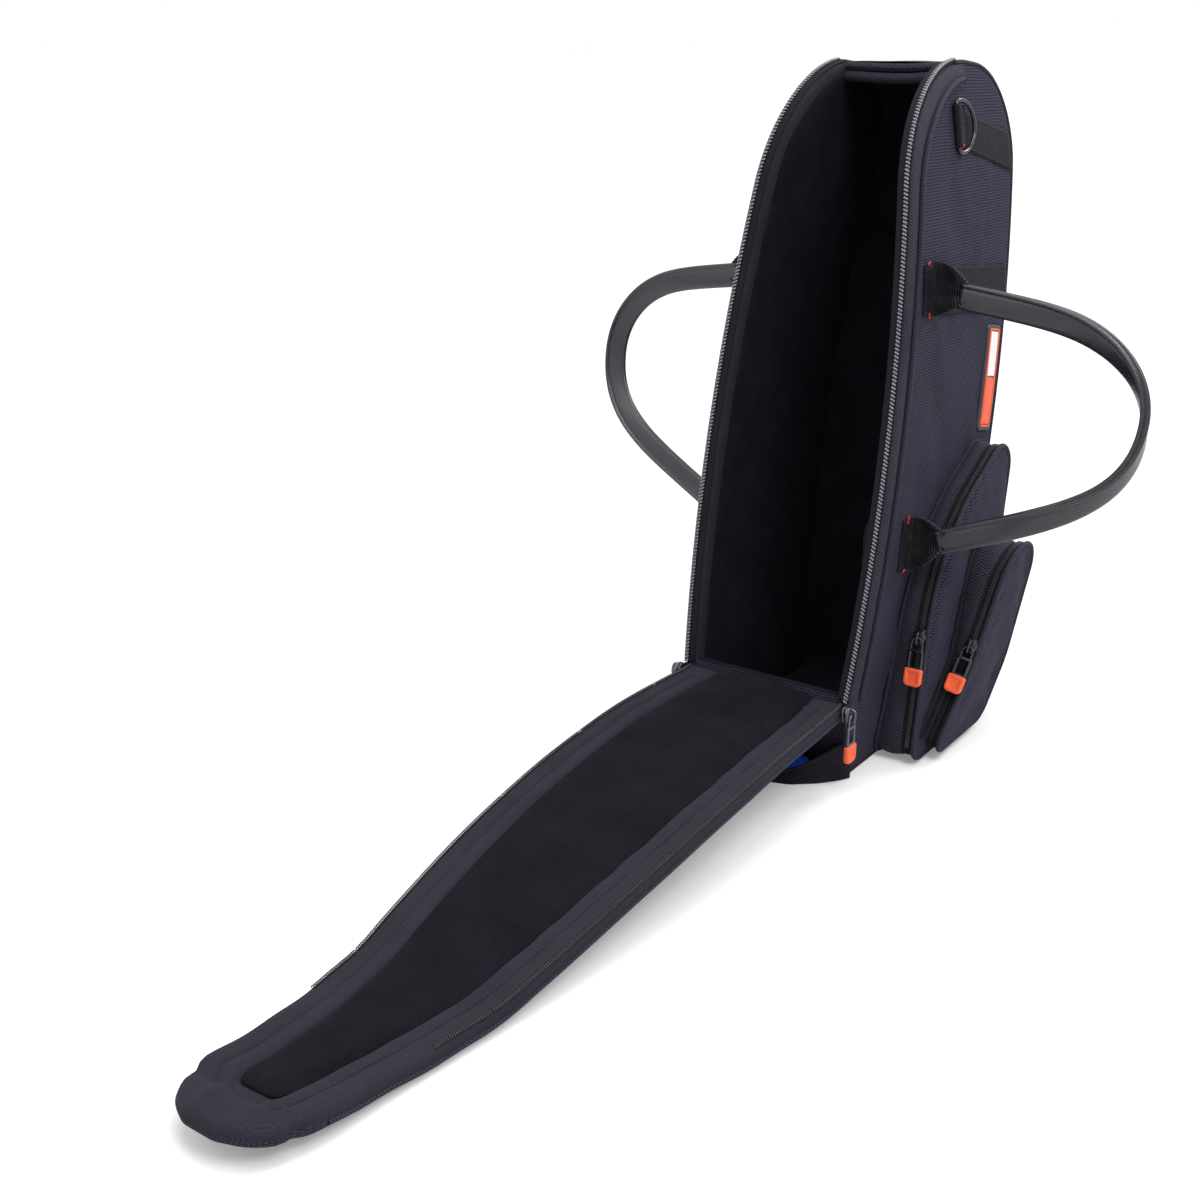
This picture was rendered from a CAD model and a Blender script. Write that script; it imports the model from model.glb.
import bpy
from math import asin, atan2, cos, degrees, hypot, pi, radians, sin, tan
import numpy as np
from mathutils import Matrix, Vector
from mathutils.geometry import delaunay_2d_cdt


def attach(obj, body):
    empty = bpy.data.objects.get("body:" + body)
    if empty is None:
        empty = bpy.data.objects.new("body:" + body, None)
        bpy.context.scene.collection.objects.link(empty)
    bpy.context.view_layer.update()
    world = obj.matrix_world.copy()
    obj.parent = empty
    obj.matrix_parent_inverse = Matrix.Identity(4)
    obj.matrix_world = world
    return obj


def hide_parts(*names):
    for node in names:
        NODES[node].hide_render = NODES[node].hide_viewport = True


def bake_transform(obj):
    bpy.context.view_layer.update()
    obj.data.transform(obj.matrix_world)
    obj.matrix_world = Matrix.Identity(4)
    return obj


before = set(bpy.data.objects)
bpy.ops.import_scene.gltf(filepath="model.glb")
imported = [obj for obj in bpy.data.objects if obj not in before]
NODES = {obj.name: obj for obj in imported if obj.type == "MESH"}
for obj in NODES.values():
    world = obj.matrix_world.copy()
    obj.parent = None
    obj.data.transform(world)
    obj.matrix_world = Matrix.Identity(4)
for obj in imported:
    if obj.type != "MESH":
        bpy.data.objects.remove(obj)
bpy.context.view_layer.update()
MM = 0.001
SIDES = ("right", "left")

# Everything below is worked out in millimetres in the part's own frame, and scaled when a mesh is made.
# ---------------------------------------------------------------- the part's sizes
PROFILE = ((-90.0, 0.0), (-107.0, 66.0), (-15.0, 556.0), (180.0, 538.0), (90.0, 0.0))
PROFILE_RADII = (14.0, 60.0, 110.0, 72.0, 25.0)
MAX_HALF, BOW_HEIGHT, BOW_RADIUS = 82.0, 215.0, 1900.0
WALL, LINING, TAPE, COIL_TALL, COIL_WIDE = 10.0, 3.0, 1.2, 2.2, 3.6
MOUTH_TURN, FLAP_TURN, FLAP_DEPTH, FLAP_NARROW = 75.0, 90.0, 22.0, 2.0
HOOD_RADIUS = 110.0
ANGLES = (101.13, 106.63, 110.13, 113.19, 116.88, 132.38, 151.28, 168.78)
LARGE = ((-44.0, 4.0), (-20.0, 186.0), (120.0, 262.0), (88.0, 4.0))
LARGE_RADII = (14.0, 150.0, 22.0, 25.0)
SMALL = ((-32.0, 9.0), (12.0, 78.0), (36.0, 172.0), (98.0, 172.0), (92.0, 60.0), (68.0, 9.0))
SMALL_RADII = (10.0, 60.0, 37.0, 30.0, 60.0, 22.0)

# Rows of stitches: pitch, length, width, height.
SEAM_STITCH, LIP_STITCH, ZIP_STITCH = (4.2, 2.8, 0.7, 0.5), (3.6, 2.5, 0.7, 0.5), (3.0, 2.1, 0.6, 0.4)
POCKET_STITCH, BAND_STITCH = (3.2, 2.3, 0.7, 0.6), (3.6, 2.6, 0.7, 0.35)
BADGE_STITCH, POUCH_STITCH = (2.6, 1.9, 0.5, 0.3), (3.4, 2.4, 0.6, 0.5)


# ---------------------------------------------------------------- plane geometry
def unit(a, b):
    length = hypot(b[0] - a[0], b[1] - a[1])
    return ((b[0] - a[0]) / length, (b[1] - a[1]) / length)


def grown(corners, radii, grow):
    """A clockwise outline's corners and radii, moved outward by grow."""
    points, rounds = [], []
    for i, here in enumerate(corners):
        into, away = unit(corners[i - 1], here), unit(here, corners[(i + 1) % len(corners)])
        left_in, left_out = (-into[1], into[0]), (-away[1], away[0])
        share = grow / (1 + left_in[0] * left_out[0] + left_in[1] * left_out[1])
        points.append(tuple(here[k] + share * (left_in[k] + left_out[k]) for k in (0, 1)))
        convex = into[0] * away[1] - into[1] * away[0] < 0
        rounds.append(max(radii[i] + (grow if convex else -grow), 0.8))
    return points, rounds


def loop(corners, radii, grow=0.0, step=5.0):
    """A rounded outline as points, with the same number of points whatever grow is."""
    points, rounds = grown(corners, radii, grow)
    count = len(points)
    arcs = []
    for i in range(count):
        into, away = unit(points[i - 1], points[i]), unit(points[i], points[(i + 1) % count])
        turn = atan2(into[0] * away[1] - into[1] * away[0], into[0] * away[0] + into[1] * away[1])
        reach = rounds[i] * tan(abs(turn) / 2)
        start = np.array(points[i]) - np.array(into) * reach
        side = 1 if turn > 0 else -1
        centre = start + side * rounds[i] * np.array((-into[1], into[0]))
        pieces = max(3, int(abs(turn) * max(radii[i], 8) / step) + 1)
        x, y = start - centre
        arcs.append([centre + np.array((x * cos(a) - y * sin(a), x * sin(a) + y * cos(a)))
                     for a in np.linspace(0, turn, pieces + 1)])
    out = []
    for i in range(count):
        out += arcs[i]
        here, there = arcs[i][-1], arcs[(i + 1) % count][0]
        rest = hypot(*(np.array(corners[(i + 1) % count]) - np.array(corners[i])))
        pieces = max(2, int(rest / step))
        out += [here + (there - here) * t for t in np.linspace(0, 1, pieces + 1)[1:-1]]
    return np.array(out)


def left_of(points):
    """Unit normals on the left of a closed line of points."""
    along = np.roll(points, -1, 0) - np.roll(points, 1, 0)
    along /= np.linalg.norm(along, axis=1)[:, None]
    return np.stack([-along[:, 1], along[:, 0]], 1)


def lengths(path):
    """The distance along a path at each of its points."""
    return np.concatenate([[0], np.cumsum(np.linalg.norm(np.diff(path, axis=0), axis=1))])


class Ring:
    """A closed outline that is read by distance along it, with an offset outward."""

    def __init__(self, corners, radii, start):
        points = loop(corners, radii, 0.0, 1.5)
        first = int(np.argmin(np.hypot(*(points - np.array(start)).T)))
        points = np.roll(points, -first, 0)
        self.points = np.vstack([points, points[:1]])
        self.normals = np.vstack([left_of(points), left_of(points)[:1]])
        self.s = lengths(self.points)
        self.total = self.s[-1]

    def at(self, s, out=0.0):
        s = np.mod(np.asarray(s, float), self.total)
        point = np.stack([np.interp(s, self.s, self.points[:, k]) for k in (0, 1)], -1)
        normal = np.stack([np.interp(s, self.s, self.normals[:, k]) for k in (0, 1)], -1)
        normal /= np.linalg.norm(normal, axis=-1)[..., None]
        return point + np.asarray(out)[..., None] * normal, normal

    def nearest(self, point):
        return float(self.s[int(np.argmin(np.hypot(*(self.points - np.array(point)).T)))])


FRONT = unit(PROFILE[1], PROFILE[2])
TOP = unit(PROFILE[2], PROFILE[3])
LEAN = degrees(atan2(FRONT[0], FRONT[1]))
INWARD = (FRONT[1], -FRONT[0])
FOOT = (PROFILE[1][0] + FRONT[0] * 7.0, PROFILE[1][1] + FRONT[1] * 7.0)
HOOD_TANGENT = HOOD_RADIUS * tan((atan2(FRONT[1], FRONT[0]) - atan2(TOP[1], TOP[0])) / 2)
FRONT_LENGTH = hypot(PROFILE[2][0] - FOOT[0], PROFILE[2][1] - FOOT[1]) - HOOD_TANGENT
HOOD_CENTRE = grown(PROFILE, PROFILE_RADII, -HOOD_RADIUS)[0][2]
SIDE = Ring(PROFILE, PROFILE_RADII, FOOT)
MOUTH = FRONT_LENGTH + HOOD_RADIUS * radians(MOUTH_TURN)
HOOD_TOP = FRONT_LENGTH + HOOD_RADIUS * radians(90 - LEAN)


def half_width(z):
    return MAX_HALF - BOW_RADIUS + np.sqrt(BOW_RADIUS ** 2 - (np.asarray(z, float) - BOW_HEIGHT) ** 2)


def inside(points, polygon):
    """Which points lie in a polygon."""
    x, y = points[:, 0], points[:, 1]
    hit = np.zeros(len(points), bool)
    a, b = polygon, np.roll(polygon, -1, 0)
    for (x1, y1), (x2, y2) in zip(a, b):
        if y1 != y2:
            hit ^= ((y1 > y) != (y2 > y)) & (x < (x2 - x1) * (y - y1) / (y2 - y1) + x1)
    return hit


def waves(a, b, size, amount, seed):
    """A gentle uneven surface: a few crossing swells, size mm long."""
    draw = np.random.RandomState(seed)
    total = np.zeros(np.broadcast(a, b).shape)
    for _ in range(7):
        angle, shift = draw.uniform(0, pi), draw.uniform(0, 2 * pi)
        pace = 2 * pi / (size * draw.uniform(0.6, 1.7))
        total = total + np.sin((np.asarray(a) * cos(angle) + np.asarray(b) * sin(angle)) * pace + shift)
    return total * amount / 2.6


def bell(x, middle, spread):
    return np.exp(-((np.asarray(x) - middle) / spread) ** 2)


def smooth(t):
    t = np.clip(t, 0, 1)
    return t * t * (3 - 2 * t)


# ---------------------------------------------------------------- meshes
def made(name, part, material, body=None, covers=(), normals=None):
    """A piece from (points, faces, uv), all in mm. covers are the CAD nodes that it stands for."""
    points, faces, uv = part
    mesh = bpy.data.meshes.new(name)
    faces = [tuple(int(i) for i in f) for f in faces]
    mesh.from_pydata((np.asarray(points, float) * MM).tolist(), [], faces)
    mesh.update()
    layer = mesh.uv_layers.new(name="weave")
    corner = np.zeros(len(mesh.loops), np.int32)
    mesh.loops.foreach_get("vertex_index", corner)
    layer.data.foreach_set("uv", np.asarray(uv, np.float32)[corner].ravel())
    mesh.polygons.foreach_set("use_smooth", [True] * len(mesh.polygons))
    if normals is not None:
        mesh.normals_split_custom_set_from_vertices([tuple(n) for n in normals])
    mesh.materials.append(material)
    piece = bpy.data.objects.new(name, mesh)
    bpy.context.scene.collection.objects.link(piece)
    if body:
        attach(piece, body)
    if covers:
        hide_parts(*covers)
    return piece


def grid(rows, cols, wrap_rows=False, wrap_cols=False, flip=False):
    """Quads of a grid of points, row by row."""
    faces = []
    for r in range(rows if wrap_rows else rows - 1):
        r2 = (r + 1) % rows
        for c in range(cols if wrap_cols else cols - 1):
            c2 = (c + 1) % cols
            face = (r * cols + c, r * cols + c2, r2 * cols + c2, r2 * cols + c)
            faces.append(face[::-1] if flip else face)
    return faces


def joined(parts):
    """Several (points, faces, uv) as one."""
    points, faces, uvs, base = [], [], [], 0
    for p, f, u in parts:
        points.append(np.asarray(p, float))
        faces += [tuple(i + base for i in face) for face in f]
        uvs.append(np.asarray(u, float))
        base += len(p)
    return np.vstack(points), faces, np.vstack(uvs)


def mirror(part):
    """A right-hand (points, faces, uv) on the left."""
    points, faces, uv = part
    return np.asarray(points) * (-1, 1, 1), [tuple(f[::-1]) for f in faces], uv


def frames(path, up):
    """Tangent, side and up vectors along a path."""
    path = np.asarray(path, float)
    along = np.gradient(path, axis=0)
    along /= np.linalg.norm(along, axis=1)[:, None]
    up = np.broadcast_to(np.asarray(up, float), path.shape)
    side = np.cross(along, up)
    side /= np.linalg.norm(side, axis=1)[:, None]
    return along, side, np.cross(side, along)


def swept(path, up, section, scale=None, caps=True, closed=False):
    """A section (side, up) carried along a path. scale has one factor for each point."""
    path = np.asarray(path, float)
    _, side, top = frames(path, up)
    section = np.asarray(section, float)
    scale = np.ones(len(path)) if scale is None else np.asarray(scale, float)
    points = (path[:, None] + side[:, None] * section[None, :, :1] * scale[:, None, None]
              + top[:, None] * section[None, :, 1:] * scale[:, None, None])
    m, n = len(section), len(path)
    ring = np.concatenate([[0], np.cumsum(np.hypot(*np.diff(section, axis=0).T))])
    s = lengths(path)
    uv = np.stack([np.repeat(s, m), np.tile(ring, n)], 1)
    faces = grid(n, m, wrap_cols=True, wrap_rows=closed)
    if caps and not closed:
        faces += [tuple(range(m - 1, -1, -1)), tuple((n - 1) * m + i for i in range(m))]
    return points.reshape(-1, 3), faces, uv


def disc(radius, tall=None, sides=10, turn=0.0):
    """An oval section."""
    a = np.arange(sides) * 2 * pi / sides + turn
    return np.stack([np.cos(a) * radius, np.sin(a) * (tall or radius)], 1)


def read_at(t, s, *lines):
    """Several lines of points, read at the distances t."""
    return [np.stack([np.interp(t, s, line[:, k]) for k in range(line.shape[1])], 1) for line in lines]


def coil(path, up, pitch, wide, tall, wire, phase=0.0):
    """A zipper's coil along a path: a flattened helix of wire."""
    path = np.asarray(path, float)
    s = lengths(path)
    per_turn = 10
    turns = max(1, int(s[-1] / pitch))
    t = np.arange(turns * per_turn + 1) / per_turn * pitch
    p, along, side, top = read_at(t, s, path, *frames(path, up))
    a = t / pitch * 2 * pi + phase
    sideways, upward = np.cos(a) * (wide / 2 - wire), np.sin(a) * (tall / 2 - wire)
    line = p + side * sideways[:, None] + top * upward[:, None]
    return swept(line, along, disc(wire, sides=5), caps=False)


def stitches(path, up, pitch, length, wide, tall):
    """A row of sewn stitches lying along a path."""
    path = np.asarray(path, float)
    s = lengths(path)
    at = np.arange(pitch / 2, s[-1], pitch)
    p, along, side, top = read_at(at, s, path, *frames(path, up))
    shape = np.array([(-0.5, 0, 0), (-0.3, -0.5, 0.5), (-0.3, 0.5, 0.5),
                      (0.3, -0.5, 0.5), (0.3, 0.5, 0.5), (0.5, 0, 0)])
    x, y, z = (shape * (length, wide, tall)).T[:, None, :, None]
    points = p[:, None] + along[:, None] * x + side[:, None] * y + top[:, None] * z
    faces = []
    for b in range(0, 6 * len(at), 6):
        faces += [(b, b + 1, b + 2), (b + 1, b + 3, b + 4, b + 2), (b + 3, b + 5, b + 4)]
    return points.reshape(-1, 3), faces, np.zeros((6 * len(at), 2))


def dressed(corners, radii, insets, height, spacing=7.0, step=5.0):
    """A soft surface over an outline: rings near its edge and an even field inside it.

    height(y, z, d) gives x, where d is the distance in from the outline."""
    loops = [loop(corners, radii, -d, step) for d in insets]
    count = len(loops[0])
    flat = np.vstack(loops)
    depth = np.repeat(insets, count)
    faces = grid(len(loops), count, wrap_cols=True)
    edge = loops[-1]
    low, high = edge.min(0), edge.max(0)
    ys, zs = np.arange(low[0], high[0], spacing), np.arange(low[1], high[1], spacing * 0.87)
    field = np.array([(y + (k % 2) * spacing / 2, z) for k, z in enumerate(zs) for y in ys])
    field = field[inside(field, edge)]
    gap = np.min(np.hypot(field[:, None, 0] - edge[None, :, 0], field[:, None, 1] - edge[None, :, 1]), 1)
    field, gap = field[gap > spacing * 0.45], gap[gap > spacing * 0.45]
    cloud = [Vector(p) for p in np.vstack([edge, field])]
    result = delaunay_2d_cdt(cloud, [], [list(range(count))], 1, 1e-5)
    start = (len(loops) - 1) * count
    kept = [list(t) for t in result[2]]
    if len(result[0]) != len(cloud):
        raise RuntimeError("the field's points were merged")
    for t in kept:
        a, b, c = (result[0][i] for i in t)
        turn = (b - a).cross(c - a)
        faces.append(tuple(start + i for i in (t if turn < 0 else t[::-1])))
    flat = np.vstack([flat, field])
    depth = np.concatenate([depth, insets[-1] + gap])
    x = height(flat[:, 0], flat[:, 1], depth)
    points = np.stack([x, flat[:, 0], flat[:, 1]], 1)
    faces = [tuple(f[::-1]) for f in faces]
    return points, faces, flat.copy(), depth


# ---------------------------------------------------------------- materials
def feed(tree, socket, value):
    """Links a socket to another node's, or sets it."""
    if isinstance(value, bpy.types.NodeSocket):
        tree.links.new(value, socket)
    else:
        socket.default_value = value


def new_node(tree, kind, operation=None, **inputs):
    """A node, with its inputs fed by name or, as i0, by place."""
    node = tree.nodes.new(kind)
    if operation:
        node.operation = operation
    for key, value in inputs.items():
        numbered = key[0] == "i" and key[1:].isdigit()
        feed(tree, node.inputs[int(key[1:]) if numbered else key], value)
    return node


class Shader:
    """A Principled material and short ways to build its nodes."""

    def __init__(self, name, colour, rough, **more):
        self.material = bpy.data.materials.new(name)
        self.material.use_nodes = True
        self.tree = self.material.node_tree
        self.shader = self.tree.nodes["Principled BSDF"]
        self.set("Base Color", (*colour, 1))
        self.set("Roughness", rough)
        for key, value in more.items():
            self.set(key.replace("_", " "), value)

    def set(self, name, value):
        self.shader.inputs[name].default_value = value

    def link(self, out, into):
        self.tree.links.new(out, into)

    def node(self, kind, **inputs):
        return new_node(self.tree, kind, **inputs)

    def math(self, kind, a, b=0.0, c=0.0):
        return self.node("ShaderNodeMath", operation=kind, i0=a, i1=b, i2=c).outputs[0]

    def coords(self, woven):
        """The weave's own coordinates, or the object's in mm."""
        if woven:
            node = self.node("ShaderNodeUVMap")
            node.uv_map = "weave"
            return node.outputs[0]
        place = self.node("ShaderNodeTexCoord").outputs["Object"]
        return self.node("ShaderNodeVectorMath", operation="SCALE", i0=place, Scale=1 / MM).outputs[0]

    def noise(self, where, size, detail=2.0, rough=0.5):
        sizes = {"Scale": 1.0 / size, "Detail": detail, "Roughness": rough}
        return self.node("ShaderNodeTexNoise", Vector=where, **sizes).outputs["Fac"]

    def ramp(self, value, stops):
        node = self.node("ShaderNodeValToRGB", Fac=value)
        ramp = node.color_ramp
        while len(ramp.elements) < len(stops):
            ramp.elements.new(0.5)
        for element, (place, colour) in zip(ramp.elements, stops):
            element.position = place
            element.color = (*colour, 1) if hasattr(colour, "__len__") else (colour, colour, colour, 1)
        return node.outputs["Color"]

    def mix(self, share, a, b, kind="MIX"):
        node = self.tree.nodes.new("ShaderNodeMix")
        node.data_type = "RGBA"
        node.blend_type = kind
        for place, value in ((0, share), (6, a), (7, b)):
            feed(self.tree, node.inputs[place], value)
        return node.outputs[2]

    def paint(self, colour):
        self.link(colour, self.shader.inputs["Base Color"])

    def bump(self, height, strength, distance=0.001, under=None):
        node = self.node("ShaderNodeBump", Strength=strength, Distance=distance, Height=height)
        if under is not None:
            self.link(under, node.inputs["Normal"])
        self.link(node.outputs[0], self.shader.inputs["Normal"])
        return node.outputs[0]

    def roughen(self, value, low, high):
        node = self.node("ShaderNodeMapRange", Value=value)
        node.inputs["To Min"].default_value, node.inputs["To Max"].default_value = low, high
        self.link(node.outputs[0], self.shader.inputs["Roughness"])

    def axes(self, where):
        node = self.node("ShaderNodeSeparateXYZ", i0=where)
        return node.outputs[0], node.outputs[1]


def tint(colour, factor):
    return tuple(c * factor for c in colour)


def weave_height(sh, u, v, kind, pitch):
    """The height of a weave, 0 to 1."""
    turn = 2 * pi / pitch
    if kind == "twill":
        lines = sh.math("SINE", sh.math("MULTIPLY", sh.math("ADD", u, v), turn))
        cross = sh.math("SINE", sh.math("MULTIPLY", sh.math("SUBTRACT", u, v), turn))
        both = sh.math("MULTIPLY_ADD", lines, 0.55, sh.math("MULTIPLY", cross, 0.45))
    elif kind == "rows":
        row = sh.math("SINE", sh.math("MULTIPLY", v, turn))
        half = sh.math("SINE", sh.math("MULTIPLY", v, turn / 2))
        dash = sh.math("MULTIPLY", sh.math("SINE", sh.math("MULTIPLY", u, turn * 0.6)), half)
        both = sh.math("MULTIPLY_ADD", row, 0.5, sh.math("MULTIPLY", dash, 0.5))
    else:
        both = sh.math("SINE", sh.math("MULTIPLY", v if kind == "along" else u, turn))
    return sh.math("MULTIPLY_ADD", both, 0.5, 0.5)


CLOTH_SHEEN, PILE_SHEEN = (0.75, 0.78, 0.95, 1), (0.55, 0.62, 0.85, 1)


def cloth(name, colour, kind, pitch, contrast, bump, rough=0.85):
    """A woven fabric. pitch is its repeat in mm."""
    sh = Shader(name, colour, rough, Sheen_Weight=0.02, Sheen_Roughness=0.45, Sheen_Tint=CLOTH_SHEEN,
                Specular_IOR_Level=0.12)
    where = sh.coords(True)
    jitter = sh.node("ShaderNodeTexNoise", Vector=where, Scale=1 / (pitch * 5), Detail=1.0)
    moved = sh.node("ShaderNodeVectorMath", operation="SCALE", i0=jitter.outputs["Color"], Scale=pitch * 0.5)
    total = sh.node("ShaderNodeVectorMath", i0=where, i1=moved.outputs[0])
    u, v = sh.axes(total.outputs[0])
    height = weave_height(sh, u, v, kind, pitch)
    fibre = sh.noise(where, pitch * 0.35, 2.0)
    body = sh.math("MULTIPLY_ADD", fibre, 0.35, sh.math("MULTIPLY", height, 0.8))
    cloud = sh.noise(where, 55.0, 3.0)
    low, high = tint(colour, 1 - contrast), tint(colour, 1 + 1.6 * contrast)
    shade = sh.ramp(body, [(0.2, low), (0.62, colour), (0.95, high)])
    worn = sh.ramp(cloud, [(0.3, 0.86), (0.75, 1.14)])
    sh.paint(sh.mix(1.0, shade, worn, "MULTIPLY"))
    sh.bump(body, bump, pitch * 0.00035)
    sh.roughen(cloud, rough - 0.07, min(1.0, rough + 0.07))
    return sh.material


def plush(name, colour):
    """Short pile, with brushed patches."""
    sh = Shader(name, colour, 0.95, Sheen_Weight=0.03, Sheen_Roughness=0.4, Sheen_Tint=PILE_SHEEN,
                Specular_IOR_Level=0.06)
    where = sh.coords(True)
    pile = sh.noise(where, 1.3, 3.0, 0.7)
    brushed = sh.noise(where, 32.0, 4.0, 0.6)
    shade = sh.ramp(pile, [(0.25, tint(colour, 0.55)), (0.75, tint(colour, 1.5))])
    patch = sh.ramp(brushed, [(0.3, 0.72), (0.7, 1.25)])
    out = sh.mix(1.0, shade, patch, "MULTIPLY")
    speck = sh.ramp(sh.noise(where, 1.6, 0.0), [(0.84, 0.0), (0.87, 0.012)])
    sh.paint(sh.mix(1.0, out, speck, "ADD"))
    sh.bump(pile, 0.6, 0.0006)
    sh.roughen(brushed, 0.88, 1.0)
    return sh.material


def hard(name, colour, rough, metallic=0.0, coat=0.0, grain=0.4, size=0.8, spread=0.08):
    """A moulded, painted or cast surface, with fine grain and handling marks."""
    sh = Shader(name, colour, rough, Metallic=metallic, Coat_Weight=coat, Coat_Roughness=0.12)
    where = sh.coords(False)
    fine = sh.noise(where, size, 3.0)
    rubbed = sh.noise(where, 14.0, 4.0, 0.65)
    sh.paint(sh.mix(1.0, sh.ramp(rubbed, [(0.3, tint(colour, 0.88)), (0.8, tint(colour, 1.12))]),
                    sh.ramp(fine, [(0.2, 0.93), (0.8, 1.07)]), "MULTIPLY"))
    sh.bump(fine, grain, 0.00006)
    sh.roughen(rubbed, max(0.03, rough - spread), min(1.0, rough + spread))
    return sh.material


def leather(name, colour):
    """The handles' coated wrap: faint creases across a satin face."""
    sh = Shader(name, colour, 0.34, Coat_Weight=0.25, Coat_Roughness=0.22)
    where = sh.coords(True)
    grain = sh.noise(where, 0.9, 4.0, 0.6)
    along, across = sh.axes(where)
    long, short = sh.math("MULTIPLY", along, 1.0), sh.math("MULTIPLY", across, 0.25)
    stretch = sh.node("ShaderNodeCombineXYZ", X=long, Y=short)
    crease = sh.noise(stretch.outputs[0], 5.0, 3.0, 0.6)
    both = sh.math("MULTIPLY_ADD", grain, 0.35, sh.math("MULTIPLY", crease, 0.65))
    sh.paint(sh.ramp(both, [(0.25, tint(colour, 0.75)), (0.7, tint(colour, 1.2))]))
    sh.bump(both, 0.5, 0.00025)
    sh.roughen(crease, 0.26, 0.44)
    return sh.material


SLATE = (0.024, 0.023, 0.041)
M_WALL = cloth("wall_fabric", SLATE, "rows", 2.3, 0.75, 0.9)
M_COARSE = cloth("coarse_twill", (0.024, 0.023, 0.037), "twill", 2.6, 0.9, 1.0, rough=0.6)
M_PIPING = cloth("piping_twill", (0.026, 0.025, 0.040), "twill", 2.4, 0.8, 0.9, rough=0.6)
M_PLUSH = plush("plush", (0.0075, 0.0078, 0.0112))
M_BAND = cloth("band_knit", (0.021, 0.021, 0.030), "twill", 1.5, 0.3, 0.3)
M_TAPE = cloth("zipper_tape", (0.010, 0.010, 0.014), "along", 1.2, 0.4, 0.6)
M_WEBBING = cloth("webbing", (0.0085, 0.0085, 0.012), "rows", 1.8, 0.5, 0.8, rough=0.75)
M_TAB = cloth("tab_webbing", (0.016, 0.016, 0.021), "along", 2.2, 0.9, 1.0, rough=0.6)
M_WRAP = leather("handle_wrap", (0.013, 0.013, 0.020))
M_COIL = hard("coil_plastic", (0.17, 0.17, 0.20), 0.22, coat=0.5, grain=0.1)
M_COIL_DARK = hard("coil_black", (0.022, 0.022, 0.028), 0.38, coat=0.1, grain=0.1)
M_BLACK = hard("black_hardware", (0.006, 0.006, 0.009), 0.2, coat=0.25, grain=0.12, spread=0.05)
M_GUN = hard("gunmetal", (0.10, 0.10, 0.125), 0.3, metallic=0.8, coat=0.2, grain=0.2)
M_ORANGE = hard("orange_rubber", (0.86, 0.105, 0.03), 0.5, grain=0.5, size=0.5)
M_RUBBER = hard("badge_rubber", (0.040, 0.042, 0.055), 0.5, grain=0.5, size=0.6)
M_WHITE = hard("badge_white", (0.80, 0.80, 0.80), 0.5, grain=0.4, size=0.6)
M_RED = hard("red_thread", (0.62, 0.012, 0.02), 0.7, grain=0.8, size=0.4)
M_THREAD = hard("dark_thread", (0.012, 0.012, 0.014), 0.75, grain=0.8, size=0.4)


def coated(name, colour):
    """The rain cover's thin coated cloth."""
    sh = Shader(name, colour, 0.38, Sheen_Weight=0.1)
    where = sh.coords(True)
    fold = sh.noise(where, 9.0, 5.0, 0.6)
    fine = sh.noise(where, 0.7, 1.0)
    sh.paint(sh.mix(1.0, sh.ramp(fold, [(0.25, tint(colour, 0.6)), (0.75, tint(colour, 1.35))]),
                    sh.ramp(fine, [(0.2, 0.9), (0.8, 1.1)]), "MULTIPLY"))
    sh.bump(fine, 0.3, 0.0001)
    sh.roughen(fold, 0.3, 0.55)
    return sh.material


M_BLUE = coated("rain_cloth", (0.001, 0.085, 0.72))


# ---------------------------------------------------------------- the shell
def on_wall(flat, out=0.0):
    """Points off the right wall's outer face, from (y, z)."""
    flat = np.asarray(flat, float)
    lean = (flat[:, 1] - BOW_HEIGHT) / BOW_RADIUS
    out = np.broadcast_to(out, len(flat))
    x = half_width(flat[:, 1]) + out * np.cos(lean)
    return np.stack([x, flat[:, 0], flat[:, 1] + out * np.sin(lean)], 1)


def wall_up(flat):
    """The right wall's outward direction at (y, z)."""
    lean = (np.asarray(flat, float)[:, 1] - BOW_HEIGHT) / BOW_RADIUS
    return np.stack([np.cos(lean), np.zeros(len(lean)), np.sin(lean)], 1)


WALL_INSETS = [0, 0.7, 1.8, 3.5, 6, 9.5, 13, 15.6, 16.8, 18, 19.2, 20.4, 21.6, 23.2, 26, 30]
PIPING_FROM, PIPING_TO, PIPING_IN = -6.0, HOOD_TOP + 4, 19.0


def piping_zone(y, z):
    """1 where the large walls carry the piping, along the mouth and round the hood."""
    front = smooth((HOOD_CENTRE[0] + 6 - y) / 8.0)
    return front * smooth((z - 48.0) / 18.0)


def wall_height(y, z, d):
    edge = np.clip(d / 6.5, 0, 1)
    roll = -3.6 * (1 - np.sqrt(1 - (1 - edge) ** 2))
    zone = piping_zone(y, z)
    sewn = -1.0 * zone * (bell(d, 16.6, 1.1) + bell(d, 21.6, 1.2))
    puff = 0.9 * zone * bell(d, 9.5, 5.0)
    rear = (1 - zone) * -0.7 * bell(d, 7.5, 1.6)
    deep = smooth((d - 24) / 30.0)
    soft = deep * (waves(y, z, 70.0, 0.8, 3) + waves(y, z, 26.0, 0.22, 4))
    return half_width(z) + roll + sewn + puff + rear + soft


def wall_part():
    """The right wall's (points, faces, uv), and those of its border of coarser cloth."""
    points, faces, flat, depth = dressed(PROFILE, PROFILE_RADII, WALL_INSETS, wall_height, step=4.5)
    rings_end = len(WALL_INSETS) * len(loop(PROFILE, PROFILE_RADII, 0.0, 4.5))

    def in_border(f):
        return (max(f) < rings_end and np.mean(depth[list(f)]) < 18.5
                and np.mean(piping_zone(*flat[list(f)].T)) > 0.5)

    border = [f for f in faces if in_border(f)]
    return used(points, [f for f in faces if not in_border(f)], flat), used(points, border, flat)


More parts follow.
